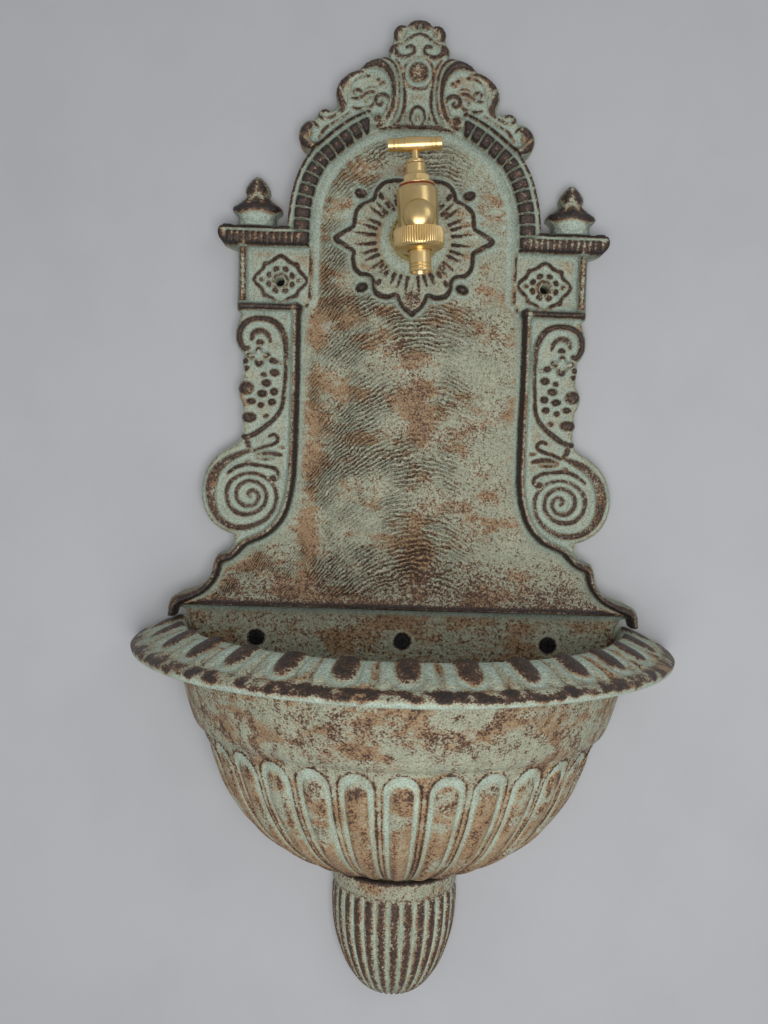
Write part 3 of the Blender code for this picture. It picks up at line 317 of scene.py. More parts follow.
# Lines are (height, [(x, z, half width), ...]) and domes are (height, x, z, half width, half height, turn).
CREST_LINES = [
    (3.2, [(0, 198.8, 2), (4, 198.4, 2.1), (8, 195.6, 1.7)]),
    (3.8, [(10, 192.6, 1), (12.5, 195, 1.8), (16, 193.4, 2.6), (17.8, 190, 2.8), (17, 186.6, 2.2),
        (14, 184.6, 1.2)]),
    (2.4, [(0, 190.2, 1.1), (4.4, 189, 1.1), (8.6, 185.8, 1.2), (12.4, 183.2, 1.3), (17, 181.4, 1.4),
        (20.6, 178.6, 1.6), (21.4, 175.6, 1.1)]),
    (2.8, [(9.2, 180.2, 1.3), (6.2, 181, 1.3), (4, 179.3, 1.3), (3.9, 176.4, 1.3), (7, 173.9, 1.4),
        (12, 172.8, 1.5), (16, 174.2, 1.7), (18.2, 177.4, 1.7), (17.6, 180.6, 1.2)]),
    (2, [(0, 149.4, 1.2), (6, 150.6, 1.1), (9.8, 155, 1), (10.9, 161, 0.9), (9.6, 167, 0.9),
        (5.5, 171.4, 0.8), (0, 172.8, 0.8)]),
    (2.6, [(17.5, 171, 0.8), (13.7, 165.4, 0.9), (11.7, 158, 1), (10.5, 150, 1.1), (9.9, 143, 1.1),
        (10.4, 136, 1.1), (12.2, 129, 1.2), (14.8, 124, 1.3), (18, 121, 1.3)]),
    (2.8, [(27, 172, 0.9), (21, 169.5, 1), (17.2, 164.5, 1.1), (15.1, 158, 1.1), (14.4, 150, 1.1),
        (14.7, 142, 1.1), (16.1, 134, 1.2), (18.7, 127.5, 1.2), (22.5, 121.8, 1.2)]),
    (4.6, [(44, 163.5, 0.6), (39, 166, 2.2), (32, 167.6, 3.3), (26, 165.4, 3.1), (21.6, 160.5, 2.6),
        (18.9, 154, 2.1), (18.1, 147, 1.9), (18.4, 140, 1.8), (20, 133, 1.9), (22.8, 127, 2.2),
        (26, 123, 2.5)]),
    (1.8, [(30.5, 147.3, 0.7), (34, 149.5, 1), (38, 149.2, 1), (41, 147.3, 0.6)]),
    (2.6, [(30.5, 144.3, 0.8), (34, 146.2, 1.4), (38, 145.5, 1.6), (42, 143.1, 1.3), (46, 141, 1.2),
        (51, 140.8, 0.8)]),
    (2.3, [(43, 143.5, 0.9), (43.6, 146.3, 1.1), (46.5, 147.6, 1.2), (49, 146, 1.2), (48, 143.8, 0.9)]),
    (1.8, [(34.5, 141.3, 0.8), (37.5, 142, 1), (40.3, 139.8, 1), (38.5, 137.8, 0.8)]),
    (2.4, [(33.5, 138, 0.8), (35.5, 135, 1.2), (39.5, 133.2, 1.3), (45, 132.6, 1.3), (50.5, 133.6, 0.8)]),
    (3.2, [(21.5, 139.5, 1.2), (23.5, 143, 1.5), (28, 144.2, 1.7), (32, 142, 1.6), (32.2, 138.2, 1.3),
        (29.3, 136.2, 1.1), (27, 138, 1), (28.4, 140, 0.9)]),
    (2.2, [(22.3, 137, 1), (24, 131, 1.2), (26.8, 126.8, 1.1)]),
    (3.4, [(40, 161.7, 0.9), (47, 160.2, 1.8), (53, 156, 3.2), (57, 150, 4.3), (58.3, 144, 4.2),
        (57.3, 138, 3.3), (57.5, 133, 2.2), (60.5, 129, 1.5), (66, 126, 1.3), (71, 124.6, 1.4),
        (75, 127, 1.5), (74, 130.3, 1.3), (70.5, 131, 1), (68, 129.6, 0.7)]),
    (2.2, [(38, 158.3, 0.8), (44, 157.8, 1), (49, 155.2, 1), (52, 151, 0.9), (52.2, 145, 0.8)]),
    (4.6, [(76.5, 118.3, 0.8), (80, 120.3, 2), (84.5, 118.2, 3.2), (87, 112.5, 3.8), (85.5, 106.3, 3.8),
        (80.5, 103.8, 3), (75.5, 106, 1.4)]),
    (2.2, [(36, 129.8, 0.8), (45, 127, 0.9), (55, 121.8, 1), (65, 115.2, 1), (73, 108, 1),
        (79.6, 101.4, 0.9)]),
    (2.2, [(51, 130.4, 0.7), (58, 125.6, 1), (65.5, 121, 1.1), (71.5, 117, 1.2), (75, 110.5, 1)]),
    (2.6, [(2.5, 120.5, 1), (5.7, 125.5, 1.1), (5.2, 131, 1.1), (2.8, 134.8, 1.1), (0, 136, 1.1)]),
    (2.2, [(7.2, 121.5, 1), (9.4, 126, 1.1), (8.6, 131, 0.8)]),
    (2.8, [(0, 120.4, 1.5), (10, 120.8, 1.5), (20, 119.6, 1.4), (28, 117.8, 1.2)]),
]
CREST_DOMES = [
    (3, 4, 196.4, 4, 4.4), (3.2, 14.6, 190.6, 5, 5.6), (2.4, 12.8, 191.4, 2.6, 3),
    (4.8, 0, 161.5, 7.6, 8.2), (4.8, 30, 123.3, 6.6, 6.3), (1.8, 26.6, 153.8, 1.9, 1.5),
    (1.8, 30.6, 155.6, 1.8, 1.6), (1.6, 28.8, 152.2, 1.5, 1.4), (2.6, 83.4, 113.2, 3, 4),
    (2.2, 0, 127, 2.8, 4.4),
]
CONSOLE_LINES = [
    (3.2, [(98.6, -92, 1), (96.9, -76, 1.5), (96.3, -58, 1.9), (97.4, -45, 2.2), (101.4, -36, 2.4),
        (107.6, -30.8, 2.2), (115.5, -29, 2), (123.5, -30, 2), (129.6, -34, 2.2), (132.6, -41, 2.4),
        (132, -48, 2.3), (128.6, -53, 1.6)]),
    (2.6, [(109, -47, 1), (110.8, -42, 1.7), (116, -38.6, 2.1), (121.6, -40.4, 2.1), (123.4, -45, 1.4)]),
    (3, [(97.4, -89, 1.2), (99.8, -99, 1.5), (105, -106.4, 1.8), (112.5, -112.8, 1.9), (120, -118, 1.9),
        (126, -120.4, 1.8), (129.4, -119.6, 1.2)]),
    (2.6, [(124.2, -120, 1.8), (124.6, -125, 2), (122.2, -130, 1.6)]),
    (2.4, [(108, -119.4, 0.9), (104.6, -118, 1.1), (101.4, -120, 1.2), (101.6, -123.4, 1.2),
        (106, -126, 1.2), (113, -128.2, 1.2), (119.4, -131, 1.2)]),
    (2.6, [(97.6, -134, 1), (103.5, -132.8, 1.8), (110.5, -132.6, 1.8), (118, -134.2, 0.9)]),
    (2, [(103.5, -136.6, 0.8), (110.5, -137, 1.1), (117.5, -136.4, 0.8)]),
    (2.6, [(99.4, -150.6, 1.2), (100.4, -146.4, 1.3), (105.6, -143.4, 1.3), (114, -142, 1.3),
        (124, -141.4, 1.4), (132, -144, 1.3), (139, -149, 1)]),
    (1.6, [(93.5, -127.6, 0.8), (97, -128, 1.2), (100, -127.4, 0.8)]),
]
GROOVES = [
    (-1.2, [(0, 197.5, 0.8), (0, 192, 0.6)]),
    (-1, [(4.6, 196, 0.7), (3.4, 191.6, 0.5)]),
    (-1.1, [(27, 127.6, 0.7), (31.4, 127.8, 0.7), (34, 124.6, 0.7), (32.6, 121.2, 0.6),
        (29.6, 121.4, 0.5)]),
    (-1, [(53.6, 153, 0.7), (56, 147, 0.7), (55.4, 139, 0.6)]),
]
CONSOLE_DOMES = [
    (3.2, 106.4, -61.6, 4.6, 2.6, 20), (3.4, 112.4, -58, 4.4, 3, -20), (3.6, 117.6, -54.8, 3, 4.4),
    (3.4, 123.4, -58.4, 4.6, 3, 20), (3, 128.2, -62.4, 3.4, 2.4, -30), (3.8, 117.4, -62.6, 4, 4.6),
    (2.6, 117, -47.6, 3.4, 2.6), (2.6, 126.6, -52.6, 2.8, 2.6), (3, 105.2, -70.6, 4.4, 3.2),
    (3.2, 111.4, -79, 4.3, 3.2), (3, 105.2, -85.2, 3.5, 3.2), (3.2, 114.4, -87, 4.3, 2.9),
    (2.8, 106.6, -93.2, 3.3, 2.7), (2.6, 115.2, -95.6, 2.6, 2.2), (2.8, 122.8, -93, 3.8, 2.4),
    (3.6, 126.6, -83.2, 6, 5.4), (3.4, 123.8, -105.2, 6.4, 4.2), (2.4, 127, -67.4, 2.6, 1.9),
    (3, 103.6, -152.2, 4, 3), (2, 123.6, -139.2, 2.4, 1.7), (2, 110.6, -104, 3, 2.2),
    (2.4, 113.6, -72.6, 2.8, 2.2), (2, 101, -63, 1.8, 1.4),
]
# Lines (x, z, half width) where the paint is thicker.
PALE_TOUCHES = [
    [(112, -57, 2), (117.5, -55, 2.2), (118, -61, 2)], [(118, -56, 1.6), (124, -58, 2)],
    [(93, -60, 1.3), (93.5, -100, 1.5), (94, -135, 1.2)], [(8, 195, 1), (11, 192.6, 1.2)],
    [(41, 158.4, 1), (47, 157.6, 1.1), (51, 154, 1)],
    [(155.6, -152, 1.6), (157.2, -164, 1.6), (155, -176, 1.4)],
]
# The rosette behind the tap: its outline, and rays of (degrees, inner radius, outer radius).
ROSETTE_EDGE = [
    (0, 80.6, 1.2), (8, 80.2, 1.2), (16, 80.2, 1.3), (24, 78, 1.3), (29, 72.5, 1.3), (31, 66, 1.3),
    (35.5, 63.6, 1.1), (41, 60.4, 1.3), (44.4, 56, 1.3), (45.4, 50, 1.3), (46.4, 44.6, 1.3), (53, 40, 1.5),
    (60, 34.8, 1.6), (53, 30, 1.5), (46, 26, 1.3), (45.8, 20, 1.3), (44.4, 13, 1.3), (40, 8.6, 1.3),
    (33, 7.4, 1.2), (29.6, 3.4, 1.3), (29, -2.4, 1.4), (25.6, -7.4, 1.6), (18.4, -8.8, 1.6),
    (11.6, -7.2, 1.4), (9.4, -11.6, 1.4), (5.6, -17.4, 1.6), (0, -22.4, 1.7),
]
ROSETTE_RAYS = [
    (36, 30, 46), (44, 29, 45), (6, 30, 52), (16, 30, 46), (24, 29, 45), (-6, 30, 52), (-16, 30, 46),
    (-24, 29, 45), (-36, 29, 43), (-46, 29, 42), (-64, 30, 42), (-73, 29, 42), (-83, 29, 46), (56, 28, 42),
    (66, 28, 43), (76, 28, 43),
]


def right_half(draw):
    """Draw all the raised work of the plate's right half; the left half mirrors it."""
    for height, points in CREST_LINES + CONSOLE_LINES + GROOVES:
        draw.stroke(height, points)
    for dome in CREST_DOMES + CONSOLE_DOMES:
        draw.dome(*dome)
    draw.stroke(3.6, VOLUTE)
    draw.stroke(3.7, [(x, z, 2.7) for x, z in JAMB])
    draw.paint(-0.95, [(x + 1.5, z, 2.6) for x, z in JAMB])
    # Painted shade along the jamb's inner flank.
    draw.paint(0.8, [(x - 2.6, z, 1.8) for x, z in JAMB])
    draw.plateau(5.4, [(127.6, 27), (134.9, 27), (134.9, -17), (127.6, -17)], 2.2)
    draw.paint(-0.8, [(131.4, 27, 3.6), (131.4, 4, 3.6), (131.4, -16, 3.6)])
    draw.plateau(5.4, [(84.2, -17), (134.9, -17), (134.9, -23), (84.2, -23)], 1.5)
    for points in PALE_TOUCHES:
        draw.paint(-1.1, points)
    diamond(draw)
    rosette(draw)


def polar(centre, radius, angle):
    return centre[0] + radius * math.cos(angle), centre[1] + radius * math.sin(angle)


def diamond(draw):
    """The small rosette round a wall-screw hole: a notched four-point frame and a ring of petals."""
    cx, cz = centre = 102.3, 1.4
    frame_line, dots = [], []
    for i in range(33):
        angle = 2.0 * math.pi * i / 32
        c, s = abs(math.cos(angle)), abs(math.sin(angle))
        reach = 1.0 / ((c / 20.6) ** 1.25 + (s / 18.4) ** 1.25) ** 0.8
        reach *= 1.0 + 0.05 * math.cos(8.0 * angle) * (2.0 * c * s)
        frame_line.append((*polar(centre, reach, angle), 1.2))
    draw.stroke(2.6, frame_line)
    for i in range(8):
        angle = math.radians(22.5 + 45.0 * i)
        x, z = cx + 9.6 * math.cos(angle), cz + 8.8 * math.sin(angle)
        dots.append((2.8, x, z, 3.0, 2.3, math.degrees(angle) + 90))
    for sx, sz in ((1, 1), (1, -1), (-1, 1), (-1, -1)):
        dots.append((2.2, cx + sx * 12.4, cz + sz * 12.0, 2.8, 1.9, -sx * sz * 40.0))
    for x in (-14.6, 14.6):
        dots.append((2.0, cx + x, cz, 2.8, 2.0, 0.0))
    for dot in dots:
        draw.dome(*dot)
    draw.stroke(2.0, [(*polar((cx, cz - 1.0), 5.6, a), 1.1) for a in np.linspace(0.0, 2.0 * math.pi, 17)])


def rosette(draw):
    """The large leafed rosette behind the tap: body, outline, radiating veins, lobes, ring and buds."""
    centre = (0.0, 35.0)
    body = spline(ROSETTE_EDGE)[:, :2]
    draw.plateau(2.0, np.vstack([body, [(-9.0, -22.0), (-9.0, 80.0)]]), 3.5)
    draw.stroke(4.6, [(x, z, 1.25 * half) for x, z, half in ROSETTE_EDGE])
    for degrees, start, end in ROSETTE_RAYS:
        stations = ((start, 1.5), (0.6 * start + 0.4 * end, 1.3), (end, 0.5))
        draw.stroke(4.2, [(*polar(centre, reach, math.radians(degrees)), half) for reach, half in stations])
    for degrees in (52, -52):
        for turn, reach in ((-11, 31), (0, 33), (11, 31), (0, 42)):
            draw.dome(4.4, *polar(centre, reach, math.radians(degrees + turn)), 4.6, 2.3, degrees + turn)
    for x, z, turn in ((41.5, 69.8, 22), (38.6, -2.2, -22)):
        draw.dome(5.0, x, z, 5.4, 3.9, turn)
    draw.dome(4.8, 0.0, -12.0, 9.0, 9.0)
    draw.paint(0.5, [(0.0, -8.0, 9.0), (0.0, -16.0, 6.0)])
    draw.paint(-0.8, [(*polar(centre, 22.0, a), 5.0) for a in np.linspace(-math.pi / 2, math.pi / 2, 12)])


def finial_depth(x, z):
    """The urn's front, turned about its own axis, and how far a point is inside it."""
    heights, halves = np.array(FINIAL_HALF).T
    half = np.interp(z, heights, halves, right=-9.0)
    off = np.clip(np.abs(x - FINIAL_X) / np.maximum(half, 0.5), 0.0, 1.0)
    bulge = np.sqrt(np.clip(1.0 - off ** 2, 0.0, 1.0))
    turned = np.clip(half, 0, 20)
    angle = np.arcsin(off) * np.sign(x - FINIAL_X)
    petals = ridge(0.8 * np.cos(angle * 8.0), 56, 58, 63, 64.5, z)
    leaves = ridge(0.9 * np.abs(np.sin(angle * 4.0)), 64.5, 67, 74, 79, z)
    arcs = ridge(0.8 * np.sin((z - 42.0) * 1.15 - 1.3 * angle ** 2 * 6), 42.5, 44, 48.4, 49.6, z)
    return 9.0 + (2.6 + 0.5 * turned) * bulge + (petals + leaves + arcs) * bulge, half - np.abs(x - FINIAL_X)


def smooth_line(points):
    return [tuple(p[:2]) for p in spline(points)]


def frame_depth(x, z, in_panel):
    """Depth of the panel, its frame and the screw blocks, which all flare forward at the foot."""
    front = PANEL + (FIELD - PANEL) * smooth(0.6, -0.8, in_panel)
    block = (x > 78) & (z > BLOCK_LOW - 0.5) & (z < BLOCK_TOP)
    front = np.where(block, PANEL + (BLOCK_FIELD - PANEL) * smooth(79.4, 81.4, x), front)
    return front + np.interp(-z, [199, 205, 211, 217, 226, 234, 241, 245, 250],
                             [0.0, 0.8, 2.0, 4.0, 6.8, 9.5, 12.4, 14.4, 17.0])


def arch_band(x, z):
    """Height and paint of the arch's small blocks and of the channel and line outside them."""
    _, gap, side, along, _ = nearest(spline(CHANNEL), x, z)
    inward = gap * side
    joint = np.abs((along - 14.5 + BLOCK_PITCH / 2) % BLOCK_PITCH - BLOCK_PITCH / 2)
    on_band = smooth(26.5, 28.0, z) * smooth(35.5, 37.0, x)
    rim_line = ridge(3.8, -4.6, -3.4, -2.6, -1.6, inward)
    block_top = ridge(4.6, 0.8, 2.2, 12.6, 14.0, inward) * smooth(0.25, 1.1, joint)
    floor_cut = ridge(1.2, -2.8, -1.4, 13.0, 14.0, inward)
    paint = ridge(0.5, 0.8, 2.2, 12.6, 14.0, inward) - 1.2 * smooth(0.9, 0.3, joint)
    return on_band * (rim_line + block_top + floor_cut), on_band * paint


def cove_height(x, z):
    """How far the cove stands in front of the panel, from the arch inwards."""
    _, gap, side, _, _ = nearest(spline(COVE_EDGE), x, z)
    into = np.clip(gap * side, 0.0, 9.0) / 9.0
    return 4.6 * (1.0 - into) ** 2 * (side > 0) * smooth(BLOCK_LOW, -10, z) * (z > BLOCK_LOW)


def cornice_depth(x, z):
    """Depth of the cornice: a fillet over a channel over a ribbed band, plain at its outer end."""
    ribs = 19.6 + 1.6 * smooth(28, 33, z) + 1.5 * np.abs(np.cos((x - 82.0) * math.pi / 4.6)) ** 0.7
    depth = np.where(z > FILLET_Z, 23.2, np.where(z > CHANNEL_Z, 20.0, ribs))
    depth = np.where(x > 146.5 - (z < CHANNEL_Z) * 3.0, 20.6, depth)
    return FIELD + (depth - FIELD) * smooth(CORNICE_LOW, 28.5, z)


def tongue_depth(x, z, front, rim, body, from_screws):
    """The front with its outer edge rounded, the tongue below the lip, and the countersunk seats."""
    tongue = TONGUE_FRONT - 0.8 * (1.0 - smooth(0.0, 2.2, -rim)) ** 2
    front = np.where(body, front - 0.9 * smooth(-249.6, LIP_Z, z) * (x < 172), tongue)
    for r in from_screws:
        seat = TONGUE_FRONT - 0.7 - np.clip(6.3 - r, 0.0, 3.2) * 0.95
        lip = TONGUE_FRONT + 0.5 * bell(r - 7.6, 0.9)
        front = np.where(r < 10.0, np.where(r < 6.35, seat, np.where(body, front, lip)), front)
    return front


def hollow_back(x, z, front, rim, body):
    """Depth of the hollow back, with its rim, the cross-rib and the bosses round the wall screws."""
    from_hole = np.hypot(x - HOLE_X, z - HOLE_Z)
    hollow = np.minimum(blur(np.where(body, front, FIELD), 6.0) - SKIN, 27.0)
    solid = (np.abs(z) < 7.0) | (from_hole < 10.0)
    inner = smooth(4.6, 7.6, -np.where(from_hole < 14, rim - 20, rim)) * ~solid
    back = np.where(z > LIP_Z, hollow * inner, TONGUE_BACK)
    return np.where((z <= LIP_Z) & (x > 172), 20.0, back)


def plate_drawing():
    """The drawing of the plate for x from 0 up.

    Depths of the front and the back, distance to the outline, where the paint is thicker (below 0) or
    rubbed further (above 0) than the relief alone would have it, which also carries painted shade beside the
    consoles and a painted highlight above the lip, and where brush marks lie.
    """
    draw = Relief(np.arange(0.0, 184.0, DRAW_STEP), np.arange(-300.0, 204.0, DRAW_STEP))
    x, z = draw.u, draw.v
    right_half(draw)
    edge = [(-12, 201)] + smooth_line(CREST_EDGE) + SLAB_EDGE
    edge += smooth_line(SIDE_EDGE) + smooth_line(CONSOLE_EDGE) + smooth_line(FOOT_EDGE)
    edge += TONGUE_EDGE + [(-12, TONGUE_LOW)]
    rim = outline_distance(np.array(edge), x, z)
    panel_line = smooth_line(COVE_EDGE[2:][::-1]) + smooth_line(PANEL_SIDE) + [(-14, -250)]
    in_panel = -outline_distance(np.array(panel_line), x, z)
    band, band_paint = arch_band(x, z)
    cove = cove_height(x, z)
    front = frame_depth(x, z, in_panel) + band
    front = np.where((in_panel > -0.5) & (z > BLOCK_LOW), np.maximum(front, PANEL + cove), front)
    slab = (x > 81.5) & (z > CORNICE_LOW) & (z < CORNICE_TOP) & (rim < 2.0) & (x > 97.3 - 1.5 * (42 - z))
    front = np.where(slab, cornice_depth(x, z), front)
    front += draw.raised * ~(slab & (z > 27.5)) + draw.sunk
    # The urns stand on the cornice.
    urn, in_urn = finial_depth(x, z)
    is_urn = (z > 41.5) & (x > 100) & (in_urn > -2.0)
    front = np.where(is_urn, urn, front)
    rim = np.where((z > 40.0) & (x > 99.5), np.minimum(rim, -in_urn), rim)
    body = (z > LIP_Z) | (x > 173.0)
    front -= np.where(body & ~is_urn, 1.8 * (1.0 - smooth(0.0, 2.4, -rim)) ** 2, 0.0)
    from_screws = [np.hypot(x - screw_x, z - APRON_Z) for screw_x in APRON_X]
    front = tongue_depth(x, z, front, rim, body, from_screws)
    # The holes for the wall screws, the tap and the apron screws.
    rim = np.maximum(rim, HOLE_RADIUS - np.hypot(x - HOLE_X, z - HOLE_Z))
    rim = np.maximum(rim, TAP_HOLE_RADIUS - np.hypot(x - TAP_HOLE_X, z - TAP_HOLE_Z))
    for r in from_screws:
        rim = np.maximum(rim, SCREW_BORE - r)
    paint = np.where(in_panel > 0, 0.0, -0.25)
    paint += -0.55 * (cove / 4.6 > 0.02) * (z > BLOCK_LOW) * (in_panel > -1)
    # Painted shade: a dark line along the panel's edge beside the consoles, where the jamb's flank steps up
    # from the panel.
    paint += 0.9 * bell(in_panel + 0.6, 1.3) * (z < -20) * (z > -212)
    # Darker towards the panel's foot.
    paint += 0.42 * smooth(-190, -248, z)
    # Painted highlight: a pale line just above the lip, where its edge faces up; the tongue below the lip
    # takes one flat paint value.
    paint = np.where(body, paint - 1.6 * bell(z - LIP_Z - 1.2, 1.1) * (x < 171), 0.14) + band_paint
    paint = np.where(slab, np.where(z > FILLET_Z, 0.7, np.where(z > CHANNEL_Z, -0.9, 0.35)), paint)
    paint = np.where(is_urn, -0.9 + 1.3 * smooth(52, 55, z) - 0.25 * smooth(62, 66, z), paint)
    for r in from_screws:
        paint = np.where(body, paint, paint - 1.5 * bell(r - 8.0, 0.8))
    brush = smooth(5.0, 12.0, in_panel) * (1.0 - smooth(0.15, 0.7, blur(draw.raised, 4.0))) * body
    return draw, front, hollow_back(x, z, front, rim, body), rim, paint + draw.tint, brush


# ---------------------------------------------------------------- meshes from grids

def sampled(draw, values, x, z):
    """Values of a drawing at other points, between its grid points."""
    u = np.clip((x - draw.us[0]) / DRAW_STEP, 0, len(draw.us) - 1.001)
    v = np.clip((z - draw.vs[0]) / DRAW_STEP, 0, len(draw.vs) - 1.001)
    i, j = u.astype(int), v.astype(int)
    return bilinear([values[j + b, i + a] for b in (0, 1) for a in (0, 1)], u - i, v - j)


def merged_cells(inside, surface, slack):
    """Squares (row, column, size) that cover the inside cells, large where the surface is nearly flat."""
    bend = np.zeros_like(surface)
    bend[1:-1] += np.abs(surface[2:] + surface[:-2] - 2 * surface[1:-1])
    bend[:, 1:-1] += np.abs(surface[:, 2:] + surface[:, :-2] - 2 * surface[:, 1:-1])
    bend = np.maximum.reduce([bend[:-1, :-1], bend[1:, :-1], bend[:-1, 1:], bend[1:, 1:]])
    free = inside.copy()
    deep = inside.copy()
    for axis in (0, 1):
        for shift in (-1, 1):
            deep &= np.roll(inside, shift, axis)
    squares = []
    for size in (4, 2):
        rows, cols = (n // size for n in inside.shape)
        cut = (slice(rows * size), slice(cols * size))
        shape = (rows, size, cols, size)
        whole = (free & deep)[cut].reshape(shape).all((1, 3))
        flat = bend[cut].reshape(shape).max((1, 3)) * size ** 2 / 8.0 < slack
        for r, c in np.argwhere(whole & flat):
            squares.append((r * size, c * size, size))
            free[r * size:(r + 1) * size, c * size:(c + 1) * size] = False
    return squares, np.argwhere(free)


def cell_faces(squares, singles, columns):
    """Faces over grid-point numbers; a large square keeps the points of smaller neighbours on its edges."""
    used = set()
    for r, c in singles:
        used.update((r * columns + c, r * columns + c + 1, (r + 1) * columns + c, (r + 1) * columns + c + 1))
    for r, c, size in squares:
        for dr in (0, size):
            used.update(((r + dr) * columns + c, (r + dr) * columns + c + size))
    faces = [(r * columns + c, r * columns + c + 1, (r + 1) * columns + c + 1, (r + 1) * columns + c)
             for r, c in singles]
    for r, c, size in squares:
        ring = [r * columns + c + k for k in range(size)]
        ring += [(r + k) * columns + c + size for k in range(size)]
        ring += [(r + size) * columns + c + size - k for k in range(size)]
        ring += [(r + size - k) * columns + c for k in range(size)]
        faces.append(tuple(n for n in ring if n in used))
    return faces


def rim_edges(inside, columns):
    """Directed edges between an inside cell and an outside one, with the inside on the left."""
    padded = np.pad(inside, 1)
    core = padded[1:-1, 1:-1]
    sides = (
        (padded[:-2, 1:-1], (0, 0), (0, 1)), (padded[1:-1, 2:], (0, 1), (1, 1)),
        (padded[2:, 1:-1], (1, 1), (1, 0)), (padded[1:-1, :-2], (1, 0), (0, 0)),
    )
    edges = []
    for neighbour, start, end in sides:
        for r, c in np.argwhere(core & ~neighbour):
            edges.append(tuple((r + dr) * columns + c + dc for dr, dc in (start, end)))
    return edges


def new_object(name, points, faces, sharp=40.0, **attributes):
    """A smooth-shaded mesh object from points in metres; each attribute has a value for each point."""
    mesh = bpy.data.meshes.new(name)
    mesh.from_pydata([tuple(p) for p in points], [], [tuple(int(n) for n in f) for f in faces])
    for key, values in attributes.items():
        mesh.attributes.new(key, "FLOAT", "POINT").data.foreach_set("value", np.asarray(values, np.float32))
    mesh.validate()
    bm = bmesh.new()
    bm.from_mesh(mesh)
    bmesh.ops.recalc_face_normals(bm, faces=bm.faces)
    bm.to_mesh(mesh)
    bm.free()
    mesh.shade_smooth()
    mesh.set_sharp_from_angle(angle=math.radians(sharp))
    return add_object(name, mesh)


def plate_mesh():
    draw, front, back, rim, paint, brush = plate_drawing()
    front = blur(front, BLEND)
    slope = np.hypot(*np.gradient(front, DRAW_STEP))
    lift = front - blur(front, 5.0)
    wear_and_painted_light = 1.25 * smooth(0.08, 1.25, lift) + np.clip(1.1 * lift, -1.2, 0.0)
    # The tone also rises on steep flanks, darkening the ornament's outlines, and takes in the drawing's paint
    # with its painted shade and painted highlight.
    wear_and_painted_light += 0.42 * smooth(0.38, 1.1, slope) + blur(paint, BLEND)
    # Painted shade: darker where the front lies below its blurred surroundings, in recesses, and on steep
    # flanks.
    shadow = 0.17 * np.clip(blur(front, 7.0) - front, 0.0, 3.0) + 0.28 * smooth(0.35, 1.2, slope)
    shadow = np.clip(shadow, 0.0, 0.6)
    xs = np.arange(-183.6, 183.7, FINE)
    zs = np.arange(-300.6, 204.0, FINE)
    x, z = np.meshgrid(xs, zs)
    warp_x = 1.3 * (cloud(x, z, 38.0, 1) - 0.5)
    warp_z = 1.3 * (cloud(x, z, 38.0, 2) - 0.5)
    calm = np.abs(z - APRON_Z) < 25
    ax, az = np.abs(x) + warp_x * ~calm, z + warp_z * ~calm
    edge = sampled(draw, rim, np.abs(x), z)
    depth = sampled(draw, front, ax, az)
    tone = sampled(draw, wear_and_painted_light, ax, az)
    brushed = sampled(draw, brush, ax, az)
    # The painted shade goes to the material in the dark attribute.
    dark = sampled(draw, shadow, ax, az).ravel()
    streak_x = x - 4.0 - 22.0 * (cloud(x, z, 45.0, 3) - 0.5)
    streak = bell(streak_x, 15.0) * smooth(10.0, -60.0, z)
    tone += brushed * (0.26 * streak + 0.3 * (cloud(x * 0.55, z * 1.5, 24.0, 4) - 0.5) + 0.06)
    stained = brushed * (0.07 * streak + 0.12 * bell(x + 76.0, 8.0) - 0.04 * smooth(10.0, 60.0, x))
    rear = sampled(draw, back, np.abs(x), z)
    centre = (edge[:-1, :-1] + edge[1:, :-1] + edge[:-1, 1:] + edge[1:, 1:]) / 4.0
    inside = centre < 0.0
    columns = len(xs)
    bounds = rim_edges(inside, columns)
    on_rim = sorted({n for e in bounds for n in e})
    # Points on the rim move onto the outline itself.
    gx = np.gradient(edge, FINE, axis=1).ravel()
    gz = np.gradient(edge, FINE, axis=0).ravel()
    px, pz, e = x.ravel().copy(), z.ravel().copy(), edge.ravel()
    for n in on_rim:
        steepness = max(gx[n] ** 2 + gz[n] ** 2, 0.25)
        px[n] -= np.clip(e[n] / steepness * gx[n], -FINE, FINE)
        pz[n] -= np.clip(e[n] / steepness * gz[n], -FINE, FINE)
    front_faces = cell_faces(*merged_cells(inside, depth, FRONT_SLACK), columns)
    back_faces = cell_faces(*merged_cells(inside, rear, BACK_SLACK), columns)
    depth, rear = depth.ravel(), rear.ravel()
    values = {"tone": tone.ravel(), "brush": brushed.ravel(), "dark": dark, "stain": stained.ravel()}
    kept = {key: [] for key in values}
    numbers, points = {}, []

    def number(n, at_back):
        key = (n, at_back)
        if key not in numbers:
            numbers[key] = len(points)
            points.append((px[n] * MM, -(rear[n] if at_back else depth[n]) * MM, pz[n] * MM))
            for name, value in values.items():
                kept[name].append(0.0 if at_back else value[n])
        return numbers[key]

    faces = [[number(n, False) for n in face] for face in front_faces]
    faces += [[number(n, True) for n in face[::-1]] for face in back_faces]
    faces += [[number(b, False), number(a, False), number(a, True), number(b, True)] for a, b in bounds]
    return new_object("plate_casting", points, faces, 50.0, **kept)


# ---------------------------------------------------------------- basin and corbel

